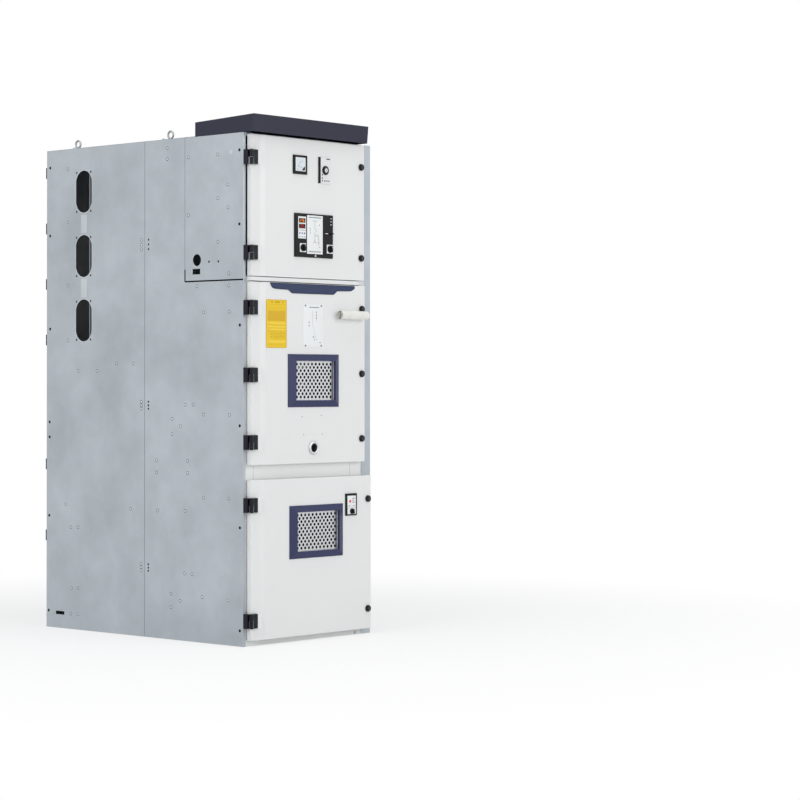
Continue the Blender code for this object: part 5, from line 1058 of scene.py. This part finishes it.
yellow_paint, gold_paint, bright_yellow, ochre_print = [
    moulded_plastic(name, colour, roughness=0.35, grain=0.03) for name, colour in (
        ("yellow_plate", "EBC730"), ("gold_print", "DBB02E"), ("bright_yellow_band", "F4D24A"),
        ("ochre_dashes", "A98424"))]

yellow_outline = softened(YELLOW_CORNERS, YELLOW_CORNER)
bands = {tone: joined([box_plate(part_of(YELLOW_BOX, shares), *BAND_PLATE) for shares in places])
         for tone, places in YELLOW_BANDS.items()}
rules = joined([strokes(lines_within(YELLOW_BOX, GOLD_RULES), RULE_WIDTH, PRINT_RISE),
                edging(yellow_outline, *BORDER)])
flecks = [(x, z, x + FLECK_LENGTHS[(i + j) % 2], z) for j, z in enumerate(FLECK_ROWS)
          for i, x in enumerate(FLECK_STEPS)]
dashes = joined([strokes(lines_within(YELLOW_BOX, flecks), FLECK_WIDTH, PRINT_RISE),
                 strokes(lines_within(YELLOW_BOX, TITLE_DASHES), TITLE_WIDTH, PRINT_RISE),
                 copies(stud(*PRINTED_DOT), dots_within(YELLOW_BOX, ROUND_MARKS))])
yellow_top_w = FACE_W + YELLOW_RISE
fit_all("breaker_door", (
    ("yellow_plate", prism(yellow_outline, YELLOW_RISE), FACE_W, yellow_paint, "white_paint"),
    ("yellow_plate_gold_bands", bands["gold"], yellow_top_w, gold_paint, "white_paint"),
    ("yellow_plate_bright_bands", bands["bright"], yellow_top_w, bright_yellow, "white_paint"),
    ("yellow_plate_rules", rules, yellow_top_w, gold_paint, "white_paint"),
    ("yellow_plate_dashes", dashes, yellow_top_w, ochre_print, "white_paint")))


# Mimic plate of the breaker door. White plate on four black screws, with a thin circuit line
# and small symbols.
MIMIC_BOX = (-0.065, 0.060, 1.286, 1.471)
MIMIC_RISE = 0.0010
MIMIC_CORNER = 0.0020
MIMIC_SCREW = (0.0036, 0.0014)
MIMIC_SCREWS = ((-0.0510, 1.4660), (0.0480, 1.4660), (-0.0510, 1.2910), (0.0480, 1.2910))
MIMIC_TITLE = ((0.30, 0.935, 0.80, 0.935),)
MIMIC_TITLE_WIDTH = 0.0040
CIRCUIT_LINES = ((0.47, 0.85, 0.47, 0.50), (0.66, 0.84, 0.66, 0.62), (0.30, 0.60, 0.30, 0.48),
                 (0.47, 0.50, 0.56, 0.40), (0.56, 0.38, 0.56, 0.24), (0.50, 0.24, 0.62, 0.24),
                 (0.62, 0.24, 0.72, 0.16))
CIRCUIT_WIDTH = 0.0009
CIRCUIT_DOTS = ((0.66, 0.82), (0.66, 0.75), (0.66, 0.68), (0.30, 0.58), (0.30, 0.50),
                (0.50, 0.23), (0.58, 0.17), (0.85, 0.10))
CIRCUIT_DOT = (0.0025, DOT_RISE)

mimic_top_w = FACE_W + MIMIC_RISE
fit_all("breaker_door", (
    ("mimic_plate", box_plate(MIMIC_BOX, MIMIC_RISE, MIMIC_CORNER), FACE_W, white_print,
     "white_paint"),
    ("mimic_title", strokes(lines_within(MIMIC_BOX, MIMIC_TITLE), MIMIC_TITLE_WIDTH, PRINT_RISE),
     mimic_top_w, grey_print, "white_paint"),
    ("mimic_circuit", strokes(lines_within(MIMIC_BOX, CIRCUIT_LINES), CIRCUIT_WIDTH, PRINT_RISE),
     mimic_top_w, grey_print, "white_paint"),
    ("mimic_symbols", copies(stud(*CIRCUIT_DOT), dots_within(MIMIC_BOX, CIRCUIT_DOTS)),
     mimic_top_w, dark_print, "white_paint"),
    ("mimic_screws", copies(screw_head(*MIMIC_SCREW), MIMIC_SCREWS), mimic_top_w, dark_steel,
     "bright_steel")))


# Rolled wiring diagram. A sheet of paper, rolled up and tied twice with thread, held on the
# breaker door by a moulded clip behind it. It stands for the frame's plain roll.
ROLL_LEFT, ROLL_RIGHT = 0.144, 0.319
ROLL_CENTRE = (-0.7043, 1.429)
ROLL_OUTER = 0.0196
ROLL_INNER = 0.0070
ROLL_TURNS = 7
ROLL_SHEET = 0.00036
ROLL_STEPS = 420
THREAD_PLACES = (0.192, 0.272)
THREAD_RADIUS = 0.0005
THREAD_POINTS = 10
THREAD_SIDES = 64
ROLL_CLIP = (0.040, 0.008, 0.0020)
ROLL_CLIP_THICKNESS = 0.0042
ROLL_CLIP_BEVEL = 0.0008

turn = np.linspace(0.0, 2 * np.pi * ROLL_TURNS, ROLL_STEPS)
radius = ROLL_INNER + (ROLL_OUTER - ROLL_INNER) * turn / turn[-1]
ribbon = []
for x, side in ((ROLL_LEFT, -1), (ROLL_LEFT, 1), (ROLL_RIGHT, 1), (ROLL_RIGHT, -1)):
    reach = radius + side * ROLL_SHEET / 2
    ribbon.append(np.column_stack([np.full(ROLL_STEPS, x), ROLL_CENTRE[0] + reach * np.cos(turn),
                                   ROLL_CENTRE[1] + reach * np.sin(turn)]))
ribbon = np.stack(ribbon, 1).reshape(-1, 3)
piece = add_piece("diagram_roll", [(ribbon, ring_faces(ROLL_STEPS, 4))], paper, "breaker_door")
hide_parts("document_roll")
fit("diagram_clip", shifted(plate(*ROLL_CLIP, ROLL_CLIP_THICKNESS, ROLL_CLIP_BEVEL),
    (ROLL_LEFT + ROLL_RIGHT) / 2, ROLL_CENTRE[1]), pale_plastic, "breaker_door",
    FACE_W)
bead = np.linspace(0.0, 2 * np.pi, THREAD_POINTS, endpoint=False)
thread = turned(np.column_stack([ROLL_OUTER + THREAD_RADIUS * (1 + np.cos(bead)),
                                 THREAD_RADIUS * np.sin(bead)]), THREAD_SIDES,
                looped=True)
add_piece("diagram_threads", [on(thread, "right", (x, *ROLL_CENTRE)) for x in THREAD_PLACES],
          paper, "breaker_door")


# Fixings of the side sheets. Blind rivets with shallow domes hold the partitions inside, black pan screws hold the
# sheets to the frames. The rivet domes are in a lighter copy of the sheet finish, which is painted highlight, and
# each sits on a dark grey ring of painted shade. Places are (depth from the front, height) in millimetres; both
# sides carry the same pattern, but the right side has no relay box to rivet.
SIDE_W = 0.400
SIDE_HALF_DEPTH = 0.650
RELAY_DEPTH_MM = 370
RELAY_FOOT_MM = 1560
RIVETS_MM = (
    (1152, 2110), (1151, 1865), (1151, 1575), (1150, 1323), (1078, 1183), (947, 1182),
    (815, 1215), (703, 1214), (479, 2162), (479, 2114), (343, 2113), (343, 1860), (158, 2114),
    (95, 1981), (157, 1925), (95, 1882), (157, 1737), (89, 1598), (89, 1546), (288, 1548),
    (246, 1434), (86, 1433), (362, 1032), (311, 1033), (246, 990), (85, 991), (446, 969),
    (393, 937), (446, 903), (548, 785), (547, 732), (347, 787), (347, 734), (1165, 571),
    (720, 565), (541, 564), (362, 568), (245, 630), (88, 631), (1128, 466), (1078, 468),
    (367, 295), (318, 294), (1123, 189), (1078, 190), (453, 201), (395, 173), (453, 143),
    (254, 198), (92, 194), (1127, 70), (1079, 71), (648, 1764), (648, 1743), (648, 1722),
    (648, 1044), (648, 1028), (648, 1013), (648, 323), (648, 308), (648, 294))
EDGE_SCREWS_MM = (
    (24, 2125), (24, 1808), (21, 1375), (21, 944), (20, 508), (20, 68), (1277, 2123),
    (1277, 1808), (1276, 1377), (1279, 947), (1279, 878), (1281, 515), (1284, 77))
OPENING_SCREWS_MM = (
    (992, 2089), (1089, 2089), (992, 1911), (1089, 1911), (992, 1792), (1089, 1792),
    (992, 1617), (1089, 1617), (992, 1500), (1089, 1500), (992, 1325), (1089, 1325),
    (154, 1652), (212, 1653))
PLUGS_MM = tuple((601, z) for z in (1764, 1743, 1722, 1044, 1028, 1013, 323, 308, 294))
BLANK_MM = ((76, 2120),)
RIVET = [(0.0052, 0.0), (0.0050, 0.0004), (0.0040, 0.0009), (0.0022, 0.0012)]
# The ring is a dark disc under each dome: painted shade.
RIVET_SHADE_RING = (0.0078, 0.0002)
BLANK = (0.0100, 0.0004)
EDGE_SCREW = (0.0066, 0.0012)
OPENING_SCREW = (0.0048, 0.0012)
PLUG = (0.0048, 0.0003)
FIXING_SIDES = 16
PLUG_SIDES = 12


def side_spots(places_mm, side):
    """Places on one side as (u, v, w): u runs to the viewer's right, so it flips with the side."""
    flip = 1 if side == "left" else -1
    return [(flip * (SIDE_HALF_DEPTH - y / 1000), z / 1000, SIDE_W) for y, z in places_mm
            if side == "left" or y > RELAY_DEPTH_MM or z < RELAY_FOOT_MM]


# A lighter copy of the coated sheet is painted highlight. It is used on the rivet domes and on the folded rims,
# where the light catches them.
highlight_sheet = coated_sheet("bright_folded_sheet", "D5DADE", "C6CCD1")
strip_sheet = coated_sheet("pale_sealing_strip", "C6CACE", "BCC2C7")
# The dark grey rings round the rivet domes are painted shade.
rivet_shadow = moulded_plastic("rivet_edge_grey", "565C62", roughness=0.5, grain=0.05)
for side in ("left", "right"):
    for name, finish, slot, kinds in (
            ("rivets", highlight_sheet, "galvanised_sheet",
             ((turned(RIVET, FIXING_SIDES), RIVETS_MM),)),
            ("rivet_rings", rivet_shadow, "galvanised_sheet",
             ((stud(*RIVET_SHADE_RING, FIXING_SIDES), RIVETS_MM),)),
            ("screws", dark_steel, "bright_steel",
             ((screw_head(*EDGE_SCREW, FIXING_SIDES), EDGE_SCREWS_MM),
              (screw_head(*OPENING_SCREW, FIXING_SIDES), OPENING_SCREWS_MM))),
            ("plugs", black_plastic, "black_plastic", ((stud(*PLUG, PLUG_SIDES), PLUGS_MM),))):
        fit(f"side_{name}_{side}", joined([copies(shape, side_spots(places, side))
            for shape, places in kinds]), finish, "enclosure", facing=side)
fit("side_blank", copies(stud(*BLANK), side_spots(BLANK_MM, "left")), strip_sheet, "enclosure",
    facing="left")


# Trim of the side sheets. Folded rims round the oblong busbar openings, in the lighter sheet finish of painted
# highlight, pale sealing strips between them, a flange seen through them, and the dark joint between the two
# sheets.
OBLONG_DEPTH = 1.039
OBLONG_LEVELS = (1.413, 1.707, 2.001)
OBLONG = (0.112, 0.194)
RIM_BAND = 0.0030
RIM_RISE = 0.0008
RIM_GAP = 0.0002
STRIP_SPANS = ((1.518, 1.602), (1.812, 1.896))
STRIP_WIDTH = 0.040
STRIP_CORNER = 0.003
STRIP_RISE = 0.0004
STRIP_BEVEL = 0.0001
JOINT_DEPTH = 0.6258
JOINT_TOPS = {"left": 2.196, "right": 2.176}
JOINT_FOOT = 0.004
JOINT_SIZE = (0.0014, 0.0002)
FLANGE_DEPTH = 1.014
FLANGE_SPAN = (1.30, 2.12)
FLANGE_SIZE = (0.005, 0.002)
FLANGE_W = 0.384


def rim(width, height, corner, band, rise):
    """Flat band round a rounded opening: four loops, up the outside and down the inside."""
    outer = rounded_loop(width + 2 * band, height + 2 * band, corner + band)
    inner = rounded_loop(width, height, corner)
    loops = [(outer, 0.0), (outer, rise), (inner, rise), (inner, 0.0)]
    rings = [np.column_stack([loop, np.full(len(loop), w)]) for loop, w in loops]
    return np.concatenate(rings), ring_faces(4, len(outer), looped=True)


for side in ("left", "right"):
    flip = 1 if side == "left" else -1
    across = flip * (SIDE_HALF_DEPTH - OBLONG_DEPTH)
    rims = copies(rim(*OBLONG, OBLONG[0] / 2 - RIM_GAP, RIM_BAND, RIM_RISE),
                  [(across, z) for z in OBLONG_LEVELS])
    strips = [shifted(plate(STRIP_WIDTH, high - low, STRIP_CORNER, STRIP_RISE, STRIP_BEVEL),
                      across, (low + high) / 2) for low, high in STRIP_SPANS]
    joint = flip * (SIDE_HALF_DEPTH - JOINT_DEPTH)
    flange = flip * (SIDE_HALF_DEPTH - FLANGE_DEPTH)
    for name, shape, finish, w in (
            ("opening_rims", rims, highlight_sheet, SIDE_W),
            ("sealing_strips", joined(strips), strip_sheet, SIDE_W),
            ("sheet_joint", stroke(joint, JOINT_FOOT, joint, JOINT_TOPS[side], *JOINT_SIZE),
             dark_print, SIDE_W),
            ("inner_flange", stroke(flange, FLANGE_SPAN[0], flange, FLANGE_SPAN[1],
                                    *FLANGE_SIZE), grey_print, FLANGE_W)):
        fit(f"{name}_{side}", shape, finish, "enclosure", w, side)


# Rubber seals. A black profile lies in the joint under the relay box and up its rear corner,
# and another between the ledge and the breaker door.
SEAL_LEVEL = 1.5700
SEAL_DEPTH = 0.3640
SEAL_HEAD = 1.6230
SEAL_SIZE = (0.0062, 0.0006)
SEAL_FRONT_GAP = 0.0010
BOX_JOINT_SHIFT = 0.0010
BOX_JOINT_TOP = 2.198
BOX_JOINT_SIZE = (0.0012, 0.0002)
LEDGE_SEAL = (-0.3760, 1.5637, 0.2680, 1.5637)
LEDGE_SEAL_SIZE = (0.0020, 0.0180)
LEDGE_SEAL_W = 0.6600

rubber = moulded_plastic("black_rubber_seal", "101012", roughness=0.6, grain=0.3, shine=0.1)
front_u, rear_u = SIDE_HALF_DEPTH - SEAL_FRONT_GAP, SIDE_HALF_DEPTH - SEAL_DEPTH
fit("relay_box_seal", strokes([(rear_u, SEAL_LEVEL, front_u, SEAL_LEVEL),
    (rear_u, SEAL_LEVEL, rear_u, SEAL_HEAD)], *SEAL_SIZE), rubber, "enclosure",
    SIDE_W, "left")
joint = rear_u - BOX_JOINT_SHIFT
fit("relay_box_joint", stroke(joint, SEAL_HEAD, joint, BOX_JOINT_TOP, *BOX_JOINT_SIZE),
    dark_print, "enclosure", SIDE_W, "left")
fit("ledge_seal", stroke(*LEDGE_SEAL, *LEDGE_SEAL_SIZE), rubber, "enclosure",
    LEDGE_SEAL_W)


# Small fittings of the front. A zinc catch at the right end of the ledge, joint lines of the panel between the
# doors, four dimples low on the breaker door, drawn as grey dots of painted shade, and a slot in the kick strip,
# drawn as a dark bar of painted shade.
CATCH = (0.046, 0.011, 0.002)
CATCH_THICKNESS = 0.0016
CATCH_BEVEL = 0.0004
CATCH_SCREW = (0.003, 0.0008)
CATCH_PLACE = (0.302, 1.5742)
LEDGE_FRONT_W = 0.6780
PANEL_W = 0.6477
PANEL_JOINTS = ((-0.338, 0.716, -0.338, 0.772), (0.268, 0.716, 0.268, 0.772))
DIMPLES = ((-0.070, 0.980), (0.050, 0.985), (-0.060, 0.901), (0.056, 0.902))
DIMPLE_SHADE_DOT = (0.0026, 0.0004)
DIMPLE_W = 0.6800
KICK_SLOT_SHADE = (0.300, 0.003, 0.300, 0.015)
KICK_SLOT_WIDTH = 0.004
KICK_W = 0.6500

catch = joined([plate(*CATCH, CATCH_THICKNESS, CATCH_BEVEL),
                shifted(screw_head(*CATCH_SCREW), 0, 0, CATCH_THICKNESS)])
fit_all("enclosure", (
    ("ledge_catch", shifted(catch, *CATCH_PLACE), LEDGE_FRONT_W, zinc_steel, "bright_steel"),
    ("panel_joints", strokes(PANEL_JOINTS, *JOINT_SIZE), PANEL_W, grey_print,
     "galvanised_sheet")))
# Grey dots stand for the shade inside the pressed dimples: painted shade.
fit("door_dimples", copies(stud(*DIMPLE_SHADE_DOT), DIMPLES), grey_print, "breaker_door",
    DIMPLE_W)
# A dark bar stands for the shaded inside of the slot: painted shade.
fit("kick_slot", stroke(*KICK_SLOT_SHADE, KICK_SLOT_WIDTH, PRINT_RISE), dark_print, "enclosure",
    KICK_W)


# Hinges of the rear doors. The same black coating: barrels in halves on their pins, with the
# moving leaf on the door's back and the fixed half on the side sheet's flange.
REAR_AXIS = (-0.390, 0.658)
REAR_BARREL = (0.0248, 0.0070, 0.0010)
REAR_LEAF = (0.0290, 0.0480, 0.0030)
REAR_LEAF_THICKNESS = 0.0022
REAR_LEAF_BEVEL = 0.0008
REAR_LEAF_U = 0.3640
REAR_LEAF_FOOT_W = 0.6625
REAR_LEAF_SCREW = (0.0030, 0.0006)
REAR_LEAF_SCREW_RISES = (-0.014, 0.014)
REAR_GAP = 0.0002
REAR_HINGE_LEVELS = {"rear_upper_door": (1.327, 1.5847, 1.8423, 2.100),
                     "rear_lower_door": (0.4235, 0.7525)}

half_barrel = barrel(*REAR_BARREL)
rear_leaf = plate(*REAR_LEAF, REAR_LEAF_THICKNESS, REAR_LEAF_BEVEL)
for door, levels in REAR_HINGE_LEVELS.items():
    leaves = [on(shifted(rear_leaf, REAR_LEAF_U, level, REAR_LEAF_FOOT_W), "rear")
              for level in levels]
    upper, lower = [[on(shifted(half_barrel, 0, 0, rise), "up", (*REAR_AXIS, level))
                     for level in levels] for rise in (REAR_GAP, -REAR_BARREL[0] - REAR_GAP)]
    screws = [(REAR_LEAF_U, level + rise) for level in levels for rise in REAR_LEAF_SCREW_RISES]
    add_piece(door + "_hinge_leaves", leaves + upper, hinge_paint, door)
    add_piece(door + "_hinge_knuckles", lower, hinge_paint, "enclosure")
    fit(door + "_hinge_screws", copies(screw_head(*REAR_LEAF_SCREW), screws), dark_steel, door,
        REAR_LEAF_FOOT_W + REAR_LEAF_THICKNESS, "rear")


# Captive screws of the sheet covers. Zinc plated pan heads along the free edges of the rear
# doors, and nylon bolts, which shear when the pressure rises, at the free edge of each roof flap.
REAR_SCREW = (0.0065, 0.0014)
REAR_SCREW_W = 0.6630
REAR_SCREW_U = -0.380
REAR_SCREW_COUNT = 6
REAR_SCREW_SPANS = {"rear_upper_door": (1.262, 2.150), "rear_lower_door": (0.070, 1.178)}
FLAP_TOP_Z = 2.2163
FLAP_BOLT = (0.0070, 0.0028)
FLAP_BOLT_ROWS = {"relief_flap_front": -0.248, "relief_flap_rear": 0.052}
FLAP_BOLT_X = np.linspace(-0.280, 0.280, 5)

for door, span in REAR_SCREW_SPANS.items():
    spots = [(REAR_SCREW_U, level) for level in np.linspace(*span, REAR_SCREW_COUNT)]
    fit(door + "_screws", copies(screw_head(*REAR_SCREW), spots), zinc_steel, door,
        REAR_SCREW_W, "rear")
for flap, y in FLAP_BOLT_ROWS.items():
    fit(flap + "_bolts", copies(screw_head(*FLAP_BOLT), [(x, y) for x in FLAP_BOLT_X]),
        pale_plastic, flap, FLAP_TOP_Z, "up")


# Operating panel of the breaker. In the recess of the mechanism case: two push buttons on zinc
# collars, two indicator windows, a counter with number wheels and the socket of the charging
# lever. Two moulded grips on the truck unlatch it.
RECESS_PANEL = (-0.1288, 0.1288, 1.0338, 1.3428)
RECESS_PANEL_W = 0.5760
CLOSE_BUTTON, OPEN_BUTTON = (0.22, 0.80), (0.22, 0.56)
BUTTON = (0.0155, 0.0036)
BUTTON_COLLAR = [(0.0205, 0.0), (0.0205, 0.0016), (0.0195, 0.0024), (0.0165, 0.0024)]
ROUND_SIDES = 40
WINDOWS = ((0.48, 0.88, 0.74, 0.86), (0.48, 0.88, 0.50, 0.62))
WINDOW_SIGNS = ((0.56, 0.80, 0.80, 0.80), (0.68, 0.52, 0.68, 0.60))
SIGN_SIZE = (0.0060, 0.0003)
FRAME_THICKNESS = 0.0012
FRAME_MARGIN = (0.020, 0.015)
FACE_THICKNESS = 0.0005
COUNTER = (0.10, 0.46, 0.27, 0.36)
COUNTER_WHEELS = 5
WHEEL_FILL = 0.84
WHEEL_PLATE = (0.0008, 0.0008)
SOCKET = (0.68, 0.24)
SOCKET_PROFILE = [(0.0240, 0.0), (0.0240, 0.0020), (0.0225, 0.0030), (0.0150, 0.0030),
                  (0.0140, 0.0010)]
SOCKET_BORE = (0.0138, 0.0014)
SOCKET_FLATS = 6
TRUCK_FRONT_W = 0.5900
TRUCK_GRIP = (0.086, 0.020, 0.008)
TRUCK_GRIP_THICKNESS = 0.015
TRUCK_GRIP_BEVEL = 0.005
TRUCK_GRIP_PLACES = ((-0.170, 0.826), (0.170, 0.826))


def drawn_in(shares, across, up):
    """Shares of a box with a margin off each side and another off the top and the foot."""
    left, right, low, high = shares
    return left + across, right - across, low + up, high - up


green_plastic = moulded_plastic("green_push_button", "2C7A4B", roughness=0.32, grain=0.03)
red_plastic = moulded_plastic("red_push_button", "B0262A", roughness=0.32, grain=0.03)
for name, spot, finish in (("close", CLOSE_BUTTON, green_plastic),
                           ("open", OPEN_BUTTON, red_plastic)):
    fit(f"breaker_{name}_button", shifted(stud(*BUTTON, ROUND_SIDES),
        *within(RECESS_PANEL, spot)), finish, "truck", RECESS_PANEL_W)
collars = [copies(turned(profile, ROUND_SIDES), dots_within(RECESS_PANEL, spots))
           for profile, spots in ((BUTTON_COLLAR, (CLOSE_BUTTON, OPEN_BUTTON)),
                                  (SOCKET_PROFILE, (SOCKET,)))]
frames = [box_plate(part_of(RECESS_PANEL, shares), FRAME_THICKNESS)
          for shares in (*WINDOWS, COUNTER)]
frames.append(shifted(stud(*SOCKET_BORE, SOCKET_FLATS), *within(RECESS_PANEL, SOCKET)))
faces = [box_plate(part_of(RECESS_PANEL, drawn_in(shares, *FRAME_MARGIN)), FACE_THICKNESS)
         for shares in WINDOWS]
left, right, low, high = drawn_in(COUNTER, *FRAME_MARGIN)
wheel = (right - left) / COUNTER_WHEELS
for i in range(COUNTER_WHEELS):
    start = left + i * wheel
    faces.append(box_plate(part_of(RECESS_PANEL, (start, start + wheel * WHEEL_FILL, low, high)),
                           *WHEEL_PLATE))
face_w = RECESS_PANEL_W + FRAME_THICKNESS
grip = plate(*TRUCK_GRIP, TRUCK_GRIP_THICKNESS, TRUCK_GRIP_BEVEL)
fit_all("truck", (
    ("breaker_panel_collars", joined(collars), RECESS_PANEL_W, zinc_steel, "bright_steel"),
    ("breaker_panel_windows", joined(frames), RECESS_PANEL_W, black_plastic, "black_plastic"),
    ("breaker_panel_faces", joined(faces), face_w, white_print, "pale_plastic"),
    ("breaker_panel_signs", strokes(lines_within(RECESS_PANEL, WINDOW_SIGNS), *SIGN_SIZE),
     face_w + FACE_THICKNESS, dark_print, "black_plastic"),
    ("truck_grips", copies(grip, TRUCK_GRIP_PLACES), TRUCK_FRONT_W, black_plastic,
     "black_plastic")))
